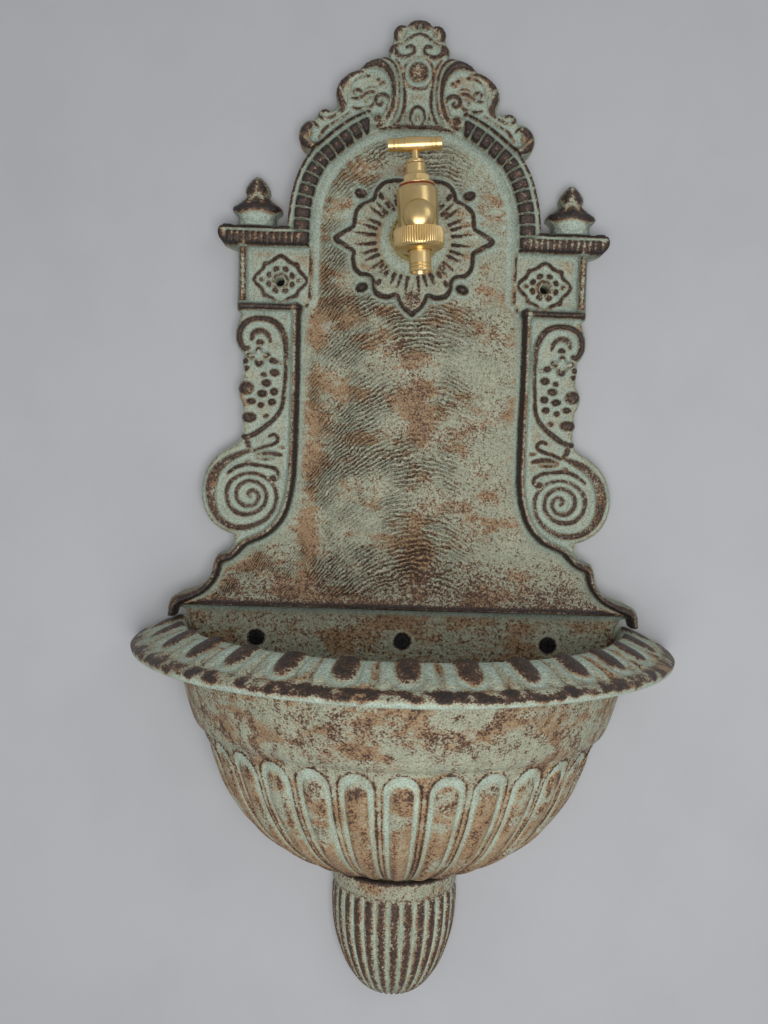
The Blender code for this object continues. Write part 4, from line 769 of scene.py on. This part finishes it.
RIM_PROFILE = [
    (167, -275), (169.2, -268), (170.6, -264.6), (172.6, -263.6), (176, -264.2), (182, -266.6),
    (190, -270), (198, -273.4), (204, -276.2), (207.4, -278), (209.6, -280), (210, -282.2),
    (208.8, -284.2), (205.6, -285.4), (200, -285), (190, -283.4), (180.6, -282.2), (177.4, -284),
    (175.6, -290), (173, -300), (170.2, -311), (167.4, -322), (164.4, -332), (161.6, -338.6),
    (158.6, -341.6), (155.6, -343.6), (153.4, -347.6), (151.4, -352), (148.6, -358), (144.2, -370),
    (137.6, -386), (127.8, -402), (115, -417), (97.6, -430.5), (76.6, -442.3), (60, -448.8), (50, -452),
    (44, -453),
]
BOWL_INSIDE = [
    (44, -447), (50, -446.4), (60, -442), (71, -436.5), (91, -424.5), (107, -411), (124.5, -390),
    (138, -365), (153, -334), (163, -303), (166, -285), (167, -275),
]
FLUTE_TOP, FLUTE_END = -345.0, -450.0


def basin_depth(height):
    """How far the bowl stands out for its width: a little less than a half-round below the rim."""
    return np.interp(-height, [300.0, 345.0, 400.0, 447.0], [1.0, 0.92, 0.92, 1.0])


def basin_stain(height):
    """More rust towards the foot of the bowl."""
    return np.interp(-height, [300, 350, 380, 440], [0.0, 0.03, 0.09, 0.15])


def rim_relief(radius, q):
    """Height and paint on the rim's top: ovals at q 0 and pale leaves either side of a vein at q 1."""
    t = (radius - 172.0) / 36.0
    oval = 1.0 - (q / 0.47) ** 2 - np.clip((t - 0.30) / 0.40, 0, None) ** 2
    boss = np.clip(oval, 0.0, 1.0) ** 0.6 * smooth(-0.02, 0.05, t)
    around = bell(np.sqrt(np.clip(1.0 - oval, 0.0, None)) - 1.18, 0.10)
    vein_half = 0.03 + 0.15 * np.clip(t, 0, 1) ** 1.4
    vein = smooth(vein_half + 0.08, vein_half, 1.0 - q) * smooth(0.05, 0.25, t)
    tip = np.hypot((q - 0.73) / 0.19, np.clip((t - 0.62) / 0.20, 0, None))
    leaf = smooth(1.05, 0.85, tip)
    band = smooth(0.80, 0.88, t)
    height = 3.0 * boss - 0.4 * around + 1.5 * leaf * smooth(0.0, 0.3, t) + 0.8 * band
    paint = 0.05 * smooth(0.15, 0.45, boss) - 0.9 * around * (1 - band) - 1.2 * leaf + 0.6 * vein
    return height, paint + 0.40 * (1 - leaf)


def flute_relief(height, q):
    """Height and paint on the bowl's flutes: a long boss in a pale arched channel with a thin arris."""
    down = FLUTE_TOP - height
    boss_edge = 0.58 - 0.04 * smooth(0, 110, down)
    round_top = np.clip(1.0 - (down - 8.0) / 11.0, 0.0, None)
    inner = 1.0 - (q / boss_edge) ** 2 - round_top ** 2
    boss = np.clip(inner, 0.0, 1.0) ** 0.6
    ring = np.hypot(q / 0.80, np.clip(1.0 - (down - 1.0) / 14.0, 0.0, None))
    arris = bell(ring - 1.06, 0.05)
    channel = smooth(1.04, 0.97, ring) * (1 - smooth(0.0, 0.12, inner))
    strip = smooth(0.93, 0.97, q) * smooth(0, 8, down)
    gone = smooth(FLUTE_END, FLUTE_END + 14.0, height)
    paint = 0.10 + 0.20 * smooth(40, 100, down) - 0.40 * boss - 0.52 * channel + 0.3 * arris - 0.4 * strip
    return (2.4 * boss + 1.4 * arris - 0.5 * channel) * gone, paint * gone


def profile_points(profile, step):
    """Points along a smooth profile, about step apart."""
    path = spline(profile, 0.5)[:, :2]
    length = np.concatenate([[0.0], np.cumsum(np.hypot(*np.diff(path, axis=0).T))])
    count = int(length[-1] / step) + 1
    at = np.linspace(0.0, length[-1], count)
    return np.stack([np.interp(at, length, path[:, k]) for k in (0, 1)], 1)


def swept(name, rows, angles, depth=np.ones_like, stain=np.zeros_like):
    """A half-turned solid: rows of (radius, height, tone) over the angles, joined into a closed ring.

    depth(height) and stain(height) give a value for each angle.
    """
    points, tones, stains = [], [], []
    for radius, height, tone in rows:
        for a, r, h, t, d in zip(angles, radius, height, tone, depth(height)):
            points.append((r * math.cos(a) * MM, r * math.sin(a) * d * MM, h * MM))
            tones.append(t)
        stains.extend(stain(height))
    wide, tall = len(angles), len(rows)
    faces = []
    for i in range(tall):
        after = (i + 1) % tall
        for k in range(wide - 1):
            faces.append((i * wide + k, after * wide + k, after * wide + k + 1, i * wide + k + 1))
    for k, flip in ((0, True), (wide - 1, False)):
        ring = [i * wide + k for i in range(tall)]
        faces.append(ring if flip else ring[::-1])
    return new_object(name, points, faces, tone=tones, stain=stains)


def slab(name, outline, holes, low, high, stand):
    """A flat slab with round (x, y, radius) holes, between two depths and stood up by stand(x, y, depth)."""
    bm = bmesh.new()
    for loop in [outline] + [circle(*hole, HOLE_SIDES) for hole in holes]:
        corners = [bm.verts.new((x, y, low)) for x, y in loop]
        for first, second in zip(corners, corners[1:] + corners[:1]):
            bm.edges.new((first, second))
    bmesh.ops.triangle_fill(bm, use_beauty=True, use_dissolve=False, edges=bm.edges[:])
    grown = bmesh.ops.extrude_face_region(bm, geom=bm.faces[:], use_keep_orig=True)["geom"]
    for corner in grown:
        if isinstance(corner, bmesh.types.BMVert):
            corner.co.z = high
    bm.verts.index_update()
    points = [tuple(c * MM for c in stand(*v.co)) for v in bm.verts]
    faces = [[v.index for v in face.verts] for face in bm.faces]
    bm.free()
    return new_object(name, points, faces)


def level(x, y, height):
    """How a slab that lies flat is stood up: as it is."""
    return x, y, height


def half_turn(count):
    """Angles from the wall on one side, round the front, to the wall on the other."""
    return np.radians(np.linspace(180.0, 360.0, count))


def half_disc(radius):
    return [(radius * math.cos(a), radius * math.sin(a)) for a in half_turn(61)]


def relief_rows(profile, relief, step):
    """Rows of a profile moved along its normal by the relief's height, each with a tone."""
    path = profile_points(profile, step)
    ahead = np.gradient(path, axis=0)
    normal = np.stack([-ahead[:, 1], ahead[:, 0]], 1)
    normal /= np.maximum(np.linalg.norm(normal, axis=1), 1e-9)[:, None]
    lift, paint = (np.array(part) for part in zip(*(relief(r, h) for r, h in path)))
    tone = np.clip(0.8 * (lift - blur(lift, 4.0)), -0.8, 0.8) + blur(paint, 0.7)
    return [(r + n[0] * up, h + n[1] * up, t) for (r, h), n, up, t in zip(path, normal, lift, tone)]


def shell(name, outer, inner, angles, relief, steps, **looks):
    """A half-turned hollow piece with relief on its outer profile and a plain inner one."""
    rows = relief_rows(outer, relief, steps[0])
    rows += relief_rows(inner, lambda radius, height: (0 * angles, 0 * angles), steps[1])[:-1]
    return swept(name, rows, angles, **looks)


def basin_mesh():
    angles = half_turn(481)
    degrees = np.degrees(angles)
    q = np.abs(((degrees - 270.0 + 6.0) % 12.0) - 6.0) / 6.0
    wobble = 0.5 * (cloud(degrees, degrees * 0, 23.0, 5) - 0.5)

    def outside(radius, height):
        lift, paint = np.zeros_like(q), np.zeros_like(q)
        if height > -280.6 and radius > 171.0:
            lift, paint = rim_relief(radius, q)
        elif height > -290.0:
            paint = np.full_like(q, -1.3 if height < -282.6 and radius > 202.0 else -0.05)
        elif height > FLUTE_TOP + 16.0:
            paint = np.full_like(q, 0.16)
        elif height < FLUTE_TOP + 16.0:
            lift, paint = flute_relief(height, q)
        patchy = cloud(degrees * 3.0, degrees * 0 + height - radius, 4.5, 6) - 0.5
        return lift + wobble, paint + (2.6 if radius > 204 else 1.0) * patchy

    looks = {"depth": basin_depth, "stain": basin_stain}
    bowl = shell("basin_bowl", RIM_PROFILE, BOWL_INSIDE, angles, outside, (1.75, 7.0), **looks)
    wall = [
        (166.4, -266), (164, -300), (161, -321), (153, -337), (144, -356), (138, -369), (131, -385),
        (121, -400.5), (108, -415), (92, -428), (72, -440), (52, -447.5),
    ]
    outline = wall + [(-x, z) for x, z in wall[::-1]]
    holes = [(x, APRON_Z, SCREW_BORE) for x in (-APRON_X[1], *APRON_X)]
    rear = slab("basin_rear_wall", outline, holes, 8.5, 14.0, lambda x, z, depth: (x, -depth, z))
    floor = slab("basin_floor", half_disc(44.4), [DRAIN_BORE], -453.0, -447.0, level)
    ring = circle(*DRAIN_BORE[:2], 15.7, 64)
    boss = slab("basin_boss", ring, [DRAIN_BORE], -466.2, -452.6, level)
    return bowl, rear, floor, boss


CORBEL_PROFILE = [
    (44.6, -458), (46, -456.6), (48.8, -456.7), (50.2, -458.4), (50.3, -462), (49.8, -468.8), (49, -470.6),
    (48.2, -472.4), (48.4, -478), (48.4, -488), (46.8, -506), (42.6, -523), (36, -539), (27.4, -551.5),
    (18, -558.6), (10, -560.6), (0.05, -559.6),
]
CORBEL_INSIDE = [
    (0.05, -551), (12, -550.5), (22, -543.5), (31, -532), (37.5, -517), (41.5, -501), (43.4, -486),
    (43.8, -470), (44.6, -461.5), (44.6, -458),
]


def corbel_mesh():
    angles = half_turn(241)
    phase = (np.degrees(angles) - 270.0) / 12.0
    rib = np.abs(np.cos(math.pi * phase)) ** 0.8

    def outside(radius, height):
        strength = smooth(-471.0, -475.0, height) * smooth(-562.5, -557.0, height)
        lift = (2.6 * rib - 1.2) * strength * (0.75 + 0.25 * smooth(30, 45, radius))
        # Painted shade: the collar's top is painted dark where the bowl's foot leaves a shaded gap above it;
        # a thinner dark line runs along the groove below the collar.
        gap = 2.2 * smooth(-459.0, -457.0, height) * (radius > 40.0) + 0.6 * bell(height + 471.0, 1.2)
        return lift, (0.9 * rib - 0.5) * strength + gap + 0.10

    body = shell("corbel_shell", CORBEL_PROFILE, CORBEL_INSIDE, angles, outside, (1.2, 5.0))
    floor = slab("corbel_web", half_disc(44.2), [DRAIN_BORE], -471.5, -466.5, level)
    return body, floor


# ---------------------------------------------------------------- node materials

class Nodes:
    """A material's node tree, with short calls for the nodes used here."""

    def __init__(self, name):
        self.material = bpy.data.materials.new(name)
        self.material.use_nodes = True
        self.tree = self.material.node_tree
        self.shader = self.tree.nodes["Principled BSDF"]
        self.place = self.make("ShaderNodeTexCoord").outputs["Object"]

    def make(self, kind, inputs=None, **settings):
        """A node with these settings, its inputs linked or set by their names or numbers."""
        node = self.tree.nodes.new(kind)
        for key, value in settings.items():
            setattr(node, key, value)
        for key, value in (inputs or {}).items():
            self.link(value, node.inputs[key])
        return node

    def link(self, value, socket):
        if isinstance(value, bpy.types.NodeSocket):
            self.tree.links.new(value, socket)
        else:
            socket.default_value = value

    def surface(self, **inputs):
        """Link or set the shader's inputs; an underscore stands for the space in a name."""
        for key, value in inputs.items():
            self.link(value, self.shader.inputs[key.replace("_", " ")])

    def noise(self, scale, detail=2.0, rough=0.5, stretch=(1, 1, 1), shift=(0, 0, 0)):
        """Noise from 0 to 1; scale is lumps per metre."""
        where = self.make("ShaderNodeMapping", {"Vector": self.place, "Scale": stretch, "Location": shift})
        inputs = {"Vector": where.outputs[0], "Scale": scale, "Detail": detail, "Roughness": rough}
        return self.make("ShaderNodeTexNoise", inputs).outputs["Fac"]

    def attribute(self, name):
        return self.make("ShaderNodeAttribute", attribute_name=name).outputs["Fac"]

    def math(self, operation, a, b=0.0):
        return self.make("ShaderNodeMath", {0: a, 1: b}, operation=operation).outputs[0]

    def add(self, *terms):
        """The sum of (socket, factor) pairs and plain numbers."""
        total = 0.0
        for term in terms:
            value = self.math("MULTIPLY", *term) if isinstance(term, tuple) else term
            total = self.math("ADD", value, total)
        return total

    def step(self, value, low, high):
        inputs = {"Value": value, "From Min": low, "From Max": high}
        return self.make("ShaderNodeMapRange", inputs, interpolation_type="SMOOTHSTEP").outputs["Result"]

    def mix(self, factor, a, b, blend="MIX"):
        inputs = {"Factor": factor, 6: a, 7: b}
        return self.make("ShaderNodeMix", inputs, data_type="RGBA", blend_type=blend).outputs[2]

    def ramp(self, value, stops):
        node = self.make("ShaderNodeValToRGB", {"Fac": value})
        elements = node.color_ramp.elements
        while len(elements) < len(stops):
            elements.new(0.5)
        for element, (position, colour) in zip(elements, stops):
            element.position = position
            element.color = (*colour, 1.0)
        return node.outputs["Color"]

    def bump(self, height, distance, strength):
        inputs = {"Height": height, "Distance": distance, "Strength": strength}
        self.surface(Normal=self.make("ShaderNodeBump", inputs).outputs["Normal"])


def srgb(red, green, blue):
    """Linear colour from 0..255 screen values."""
    shares = (v / 255.0 for v in (red, green, blue))
    return tuple(((v + 0.055) / 1.055) ** 2.4 if v > 0.04 else v / 12.92 for v in shares)


MINT = srgb(186, 201, 184)
SAGE = srgb(178, 181, 157)
OCHRE = srgb(166, 122, 78)
RUST = srgb(126, 84, 56)
UMBER = srgb(84, 62, 50)
SOOT = srgb(50, 42, 38)
MARK_SPACING = 0.0036  # metres between the brush marks


def casting_material(name):
    """Pale verdigris paint rubbed through to rust and umber on whatever stands proud."""
    n = Nodes(name)
    # The dark attribute holds the plate's painted shade in recesses and on steep flanks.
    tone, brush, dark, old = (n.attribute(name) for name in ("tone", "brush", "dark", "stain"))
    grain = n.noise(700.0, 1.0, 0.5)
    fleck = n.noise(330.0, 1.5, 0.6, shift=(3, 1, 2))
    blotch = n.noise(60.0, 3.0, 0.6, shift=(1, 5, 2))
    patch = n.noise(31.0, 4.0, 0.68, stretch=(0.8, 0.8, 1.5), shift=(4, 4, 1))
    # Brush marks lie across the middle of the panel and fall away to its sides.
    across, _, up = n.make("ShaderNodeSeparateXYZ", {0: n.place}).outputs
    off = n.math("SUBTRACT", across, 0.010)
    line = n.add(up, (n.math("MULTIPLY", off, off), 8.0), (blotch, 0.012), (fleck, 0.0018))
    marks = n.math("SINE", n.math("MULTIPLY", line, 2.0 * math.pi / MARK_SPACING))
    combed = n.math("MULTIPLY", brush, n.step(n.noise(24.0, 2.0, 0.5, shift=(2, 7, 7)), 0.36, 0.60))
    combed = n.math("MULTIPLY", combed, n.step(off, 0.075, -0.01))
    marks = n.math("MULTIPLY", marks, combed)
    # The brush marks' troughs come out darker here, painted shade along the marks.
    wear_and_painted_light = n.add(tone, (grain, 2.2), (fleck, 1.5), (blotch, 0.7), (patch, 0.7), (marks, -0.38), -2.48)
    pale = n.mix(n.step(n.add(tone, (old, 5.0)), -1.0, -0.2), (*MINT, 1), (*SAGE, 1))
    stain = n.math("MULTIPLY", n.step(n.add(patch, old, (wear_and_painted_light, 0.08)), 0.48, 0.62), n.step(tone, -0.9, 0.0))
    stained = n.mix(n.math("MULTIPLY", stain, 0.74), pale, (*OCHRE, 1))
    bare = n.ramp(n.add((wear_and_painted_light, 0.5), (patch, 0.3), -0.15), [(0.15, RUST), (0.45, UMBER), (0.80, SOOT)])
    colour = n.mix(n.step(wear_and_painted_light, 0.05, 0.80), stained, bare)
    pits = n.step(n.noise(900.0, 1.5, 0.6, shift=(9, 2, 4)), 0.34, 0.60)
    # Pits and blotches vary the paint's tone at random; the brush marks add painted shade in their troughs.
    shade = n.add((pits, 0.42), (blotch, 0.50), (marks, 0.16), 0.42)
    # Painted shade from the dark attribute darkens the colour in recesses and on steep flanks.
    shade = n.math("MULTIPLY", shade, n.math("SUBTRACT", 1.0, dark))
    n.surface(Base_Color=n.mix(1.0, colour, shade, "MULTIPLY"))
    n.surface(Roughness=n.add((n.step(wear_and_painted_light, 0.3, 1.2), -0.22), (fleck, 0.2), 0.58))
    n.bump(n.add((grain, 0.6), (fleck, 0.9), (blotch, 0.8), (marks, 1.1)), 0.0011, 1.0)
    return n.material


def brass_material(name, dark, light, roughness):
    """Turned brass whose colour and gloss vary a little."""
    n = Nodes(name)
    haze = n.noise(60.0, 3.0, 0.6)
    grain = n.noise(900.0, 2.0, 0.5, stretch=(1, 1, 0.15))
    n.surface(Base_Color=n.ramp(haze, [(0.3, dark), (0.7, light)]))
    n.surface(Roughness=n.add((haze, 0.16), (grain, 0.10), roughness - 0.13), Metallic=1.0)
    n.bump(n.add((grain, 0.3), (haze, 0.7)), 0.0001, 0.35)
    return n.material


def plain_material(name, dark, light, roughness, metallic=0.0):
    """A plain finish between two colours."""
    n = Nodes(name)
    grain = n.noise(300.0, 3.0, 0.6)
    n.surface(Base_Color=n.ramp(grain, [(0.3, dark), (0.7, light)]))
    n.surface(Roughness=n.add((grain, 0.2), roughness - 0.1), Metallic=metallic)
    n.bump(grain, 0.0002, 0.4)
    return n.material


# ---------------------------------------------------------------- tap

TAP_JOINT = next(j for j in frame["joints"] if j["name"] == "handle_turn")
TAP_UP, TAP_ORIGIN = Vector(TAP_JOINT["axis"]).normalized(), Vector(TAP_JOINT["pos_m"])


def tap_place(along=(0, 0, 1)):
    """The matrix that stands a piece drawn along +Z on the tap's axis, or along one of its own directions."""
    upright = Vector((0, 0, 1))
    lean, turn = (upright.rotation_difference(Vector(v)).to_matrix().to_4x4() for v in (TAP_UP, along))
    return Matrix.Translation(TAP_ORIGIN) @ lean @ turn


def lathe(name, profile, matrix, segments=96, wave=None):
    """A closed (radius, height) profile in millimetres turned about +Z.

    wave(radius, height, angles) adds to the radius.
    """
    angles = np.linspace(0.0, 2.0 * math.pi, segments, endpoint=False)
    points, faces, rings = [], [], []
    for radius, height in profile:
        if radius < 1e-6:
            rings.append([len(points)])
            points.append(matrix @ Vector((0, 0, height * MM)))
            continue
        reach = radius + (wave(radius, height, angles) if wave else np.zeros(segments))
        rings.append(list(range(len(points), len(points) + segments)))
        for a, r in zip(angles, reach):
            points.append(matrix @ Vector((r * math.cos(a) * MM, r * math.sin(a) * MM, height * MM)))
    for first, second in zip(rings, rings[1:] + rings[:1]):
        for k in range(segments):
            after = (k + 1) % segments
            corners = [(first, k), (first, after), (second, after), (second, k)]
            face = list(dict.fromkeys(ring[at % len(ring)] for ring, at in corners))
            if len(face) > 2:
                faces.append(face)
    return new_object(name, points, faces, 32.0)


def rounded(profile, radius=0.35):
    """The profile with each corner off the axis cut to a small round."""
    made = []
    count = len(profile)
    for k in range(count):
        before, here, after = (np.array(profile[(k + s) % count], float) for s in (-1, 0, 1))
        to_before, to_after = before - here, after - here
        lengths = np.linalg.norm(to_before), np.linalg.norm(to_after)
        if here[0] < 1e-6 or min(lengths) < 1e-6:
            made.append(tuple(here))
            continue
        a, b = (here + v / l * min(radius, l * 0.4) for v, l in zip((to_before, to_after), lengths))
        made += [tuple(a), tuple(0.25 * a + 0.5 * here + 0.25 * b), tuple(b)]
    return made


def joined(name, parts):
    """One object from several meshes."""
    bm = bmesh.new()
    for part in parts:
        bm.from_mesh(part.data)
    mesh = bpy.data.meshes.new(name)
    bm.to_mesh(mesh)
    bm.free()
    for part in parts:
        bpy.data.objects.remove(part, do_unlink=True)
    mesh.shade_smooth()
    mesh.set_sharp_from_angle(angle=math.radians(32.0))
    return add_object(name, mesh)


def hexagon(name, flats, low, high, bore, matrix):
    """A hexagonal ring along +Z with chamfered corners: a lathe whose radius follows the flats."""
    def wave(radius, height, angles):
        if radius < flats / 2.0 - 0.6:
            return np.zeros(len(angles))
        from_flat = (angles + math.pi / 6.0) % (math.pi / 3.0) - math.pi / 6.0
        across = flats / 2.0 / np.cos(from_flat)
        edge = min(height - low, high - height)
        return np.minimum(across, flats / 2.0 + 0.5 + 1.6 * edge) - radius
    r = flats / 2.0
    profile = [(bore, low), (r - 0.4, low), (r, low + 0.1), (r, low + 0.5), (r, low + 1.0)]
    profile += [(r, high - 1.0), (r, high - 0.5), (r, high - 0.1), (r - 0.4, high), (bore, high)]
    return lathe(name, profile, matrix, 144, wave)


def tap_pieces():
    up, front, back, side = (tap_place(along) for along in ((0, 0, 1), (0, -1, 0), (0, 1, 0), (1, 0, 0)))
    made = {}

    def turned(node, profile, matrix, segments=96, wave=None):
        made[node] = lathe(node + "_finish", profile, matrix, segments, wave)

    barrel = [
        (8.6, -12.5), (12.9, -12.5), (12.9, -6.9), (14.8, -6.7), (14.8, 20.8), (13.1, 23.2), (10.6, 23.3),
        (10.6, 2), (8.6, -7),
    ]
    cross = [
        (0, -6), (11.4, -6), (11.5, 13.4), (10.9, 15.2), (9.3, 16.9), (6.6, 18.2), (3.4, 18.9), (0, 19.1),
    ]
    low_front = Matrix.Translation(TAP_UP * (0.5 * MM)) @ front
    leg = [(0, 5), (6.6, 5), (6.6, 21), (7.9, 22), (7.9, 33), (10.3, 34), (10.3, 64), (0, 64)]
    parts = [
        lathe("barrel", rounded(barrel), up), lathe("cross", cross, low_front),
        lathe("leg", leg, back, 64), hexagon("inlet_hex", 24.0, 33.0, 38.0, 7.0, back),
    ]
    made["tap_body"] = joined("tap_body_finish", parts)
    flange = [
        (10.6, 40.2), (13.0, 40.3), (15.6, 41.8), (17.8, 44.2), (19.4, 47.2), (20.0, 49.7),
        (18.8, 49.7), (18.2, 47.6), (16.6, 44.8), (14.6, 42.6), (12.4, 41.6), (10.6, 41.6),
    ]
    turned("wall_flange", flange, back)
    bonnet = [
        (6.0, 24.4), (12.7, 24.45), (12.9, 24.7), (12.9, 25.7), (12.6, 25.9), (9.0, 26.1), (8.4, 31.2),
        (7.6, 32.4), (7.1, 33.6), (7.1, 39.4), (6.8, 39.8), (4.9, 39.8), (4.9, 33), (6, 33),
    ]
    parts = [lathe("bonnet_turned", rounded(bonnet, 0.2), up)]
    parts.append(hexagon("bonnet_hex", 18.0, 25.8, 31.0, 8.0, up))
    made["bonnet"] = joined("bonnet_finish", parts)
    gland = [(3, 39), (4.6, 39), (4.6, 40.1), (6.6, 40.1), (6.6, 42.4), (3, 42.4)]
    turned("gland_nut", rounded(gland, 0.3), up)
    washer = [(10.6, 23.45), (13, 23.45), (13, 24.3), (10.6, 24.3)]
    turned("bonnet_washer", rounded(washer, 0.2), up)
    turned("spindle", [(0, 12), (2.6, 12), (2.6, 53), (0, 53)], up, 48)
    half_bar = [
        (0, -19.8), (4.2, -19.8), (4.8, -19.2), (4.8, -15.6), (4.3, -15.2), (4.3, -14.8), (4.8, -14.4),
        (4.8, -12.4), (4.5, -12.1), (4.8, -11.8), (4.8, -7.5), (5.4, -7.2),
    ]
    bar = half_bar + [(radius, -height) for radius, height in half_bar[::-1]]
    bar_place = Matrix.Translation(TAP_UP * (54.0 * MM)) @ side
    turned("tee_bar", bar, bar_place, 64)

    def knurl(radius, height, angles):
        if radius < 18.3 or not -18.4 < height < -7.6:
            return np.zeros(len(angles))
        return 0.8 * np.abs(np.cos(angles * 30.0)) - 0.7

    nut = [
        (13.2, -7), (17.6, -7), (18.1, -7.3), (18.4, -7.7), (18.4, -12), (18.4, -18.3), (18.1, -18.8),
        (17.7, -19.9), (17, -20.8), (15.8, -21.5), (14.2, -21.9), (8.8, -22.2), (8.8, -17), (13.2, -17),
    ]
    turned("union_nut", nut, up, 480, knurl)
    tail = [
        (6.2, -14.9), (12.6, -14.9), (12.6, -16.6), (8.2, -16.8), (8.2, -31.6), (7.8, -32), (7.8, -32.4),
        (8.2, -32.8), (8.2, -34), (7.8, -34.4), (7.8, -34.8), (8.2, -35.2), (8.2, -37), (7.8, -37.6),
        (6.4, -37.6), (6.2, -37.2),
    ]
    turned("hose_tail", tail, up, 80)
    return made


# ---------------------------------------------------------------- putting it together

def stand_for(piece, node, material):
    """The piece wears the material and takes the place of the node from model.glb, on the same body."""
    piece.data.materials.append(material)
    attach(piece, frame["nodes"][node]["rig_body"])
    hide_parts(node)


SLOT_OF = {part["node"]: part["material_slot"] for part in frame["record"]["subparts"]}
PAINT = casting_material("verdigris_casting")
BRASS = brass_material("polished_brass_finish", srgb(240, 204, 138), srgb(250, 222, 164), 0.32)
BODY_BRASS = brass_material("body_brass_finish", srgb(222, 190, 130), srgb(240, 212, 154), 0.30)
FLANGE_BRASS = brass_material("flange_brass_finish", srgb(214, 182, 124), srgb(236, 208, 154), 0.14)
OLD_BRASS = brass_material("dull_brass_finish", srgb(150, 118, 66), srgb(190, 154, 92), 0.42)
FINISHES = {"verdigris_paint": PAINT, "polished_brass": BRASS, "dull_brass": OLD_BRASS}
PLAIN_FINISHES = {
    "black_steel": ((0.01, 0.01, 0.012), (0.03, 0.03, 0.034), 0.36, 0.6),
    "zinc_steel": ((0.40, 0.41, 0.42), (0.56, 0.57, 0.58), 0.38, 1.0),
    "black_rubber": ((0.012, 0.012, 0.012), (0.03, 0.03, 0.03), 0.8),
    "red_fibre": (srgb(120, 44, 30), srgb(160, 70, 46), 0.75),
    "white_packing": ((0.6, 0.6, 0.57), (0.8, 0.8, 0.78), 0.6),
}
for slot, look in PLAIN_FINISHES.items():
    FINISHES[slot] = plain_material(slot + "_finish", *look)
for node, obj in frame["nodes"].items():
    obj.data.materials.clear()
    obj.data.materials.append(FINISHES[SLOT_OF[node]])

for node, pieces in (("back_plate", [plate_mesh()]), ("basin", basin_mesh()), ("corbel", corbel_mesh())):
    for piece in pieces:
        stand_for(piece, node, PAINT)
TAP_FINISH = {"tap_body": BODY_BRASS, "wall_flange": FLANGE_BRASS, "bonnet_washer": FINISHES["red_fibre"]}
for node, piece in tap_pieces().items():
    stand_for(piece, node, TAP_FINISH.get(node, BRASS))


# ---------------------------------------------------------------- stage, light and camera

ROOM, FLOOR_Z, CEILING_Z, WALL_GAP = 4, -1.2, 3, 0.0004


def stage_plane(name, corners, colour):
    """A plane of the room that is seen from its front only."""
    mesh = bpy.data.meshes.new(name)
    mesh.from_pydata(corners, [], [(0, 1, 2, 3)])
    obj = add_object(name, mesh)
    n = Nodes(name + "_paint")
    marks = n.noise(9.0, 4.0, 0.6)
    base = n.mix(n.step(marks, 0.35, 0.75), (*colour, 1), (*[c * 0.95 for c in colour], 1))
    n.surface(Base_Color=base, Roughness=0.8)
    clear = n.make("ShaderNodeBsdfTransparent")
    facing = n.make("ShaderNodeNewGeometry").outputs["Backfacing"]
    mixed = n.make("ShaderNodeMixShader", {0: facing, 1: n.shader.outputs[0], 2: clear.outputs[0]})
    output = next(k for k in n.tree.nodes if k.type == "OUTPUT_MATERIAL")
    n.link(mixed.outputs[0], output.inputs["Surface"])
    mesh.materials.append(n.material)
    # Light from the room still reaches the object's back, so that it can be looked at from behind.
    obj.visible_diffuse = obj.visible_shadow = False


wall_corners = ((-ROOM, FLOOR_Z), (ROOM, FLOOR_Z), (ROOM, CEILING_Z), (-ROOM, CEILING_Z))
stage_plane("wall", [(x, WALL_GAP, z) for x, z in wall_corners], srgb(197, 198, 201))
floor_corners = ((-ROOM, -ROOM), (ROOM, -ROOM), (ROOM, ROOM), (-ROOM, ROOM))
stage_plane("floor", [(x, y, FLOOR_Z) for x, y in floor_corners], srgb(205, 204, 202))

# A flat near-black finish for the painted shade of the wall's holes.
HOLE_SHADE_PAINT = plain_material("painted_hole_shade", (0.01, 0.01, 0.01), (0.02, 0.02, 0.02), 0.9)
for side in (-1, 1):
    # Painted shade: a flat black disc on the wall behind one of the plate's screw holes stands in for the
    # shade in the wall's hole there.
    mesh = bpy.data.meshes.new(f"painted_hole_disc_{side + 1}")
    ring = [(x * MM, -0.3 * MM, z * MM) for x, z in circle(side * HOLE_X, HOLE_Z, 4.6, 24)]
    mesh.from_pydata(ring, [], [range(24)])
    mesh.materials.append(HOLE_SHADE_PAINT)
    add_object(mesh.name, mesh)


def area_light(name, at, target, size, energy, colour):
    light = bpy.data.lights.new(name, "AREA")
    light.shape = "RECTANGLE"
    light.size, light.size_y = size
    light.energy = energy
    light.color = colour
    obj = add_object(name, light)
    obj.location = at
    obj.rotation_euler = (Vector(target) - Vector(at)).to_track_quat("-Z", "Y").to_euler()


area_light("softbox", (0.06, -1.05, -0.40), (0.02, 0, -0.25), (0.7, 0.6), 5.6, (1.0, 0.99, 0.98))
area_light("window", (0.9, -1.1, 0.5), (0, 0, -0.2), (0.7, 0.7), 1.5, (0.97, 0.985, 1.0))

world = bpy.data.worlds.new("room")
world.use_nodes = True
background = world.node_tree.nodes["Background"].inputs
background["Color"].default_value = (0.82, 0.84, 0.87, 1.0)
background["Strength"].default_value = 0.42
bpy.context.scene.world = world
bpy.context.scene.view_settings.view_transform = "Standard"

CAMERA_AT = (-0.0201, -0.7964, -0.1433)
YAW, PITCH, ROLL = (math.radians(a) for a in (0.232, -2.406, -1.658))
camera = add_object("camera", bpy.data.cameras.new("camera"))
camera.data.sensor_width = 36.0
camera.data.lens = 36.0 * 1000.0 / 1024.0
camera.data.clip_start = 0.01
turn = Matrix.Rotation(-YAW, 4, "Z") @ Matrix.Rotation(math.pi / 2.0 + PITCH, 4, "X")
camera.matrix_world = Matrix.Translation(CAMERA_AT) @ (turn @ Matrix.Rotation(-ROLL, 4, "Z"))
bpy.context.scene.camera = camera
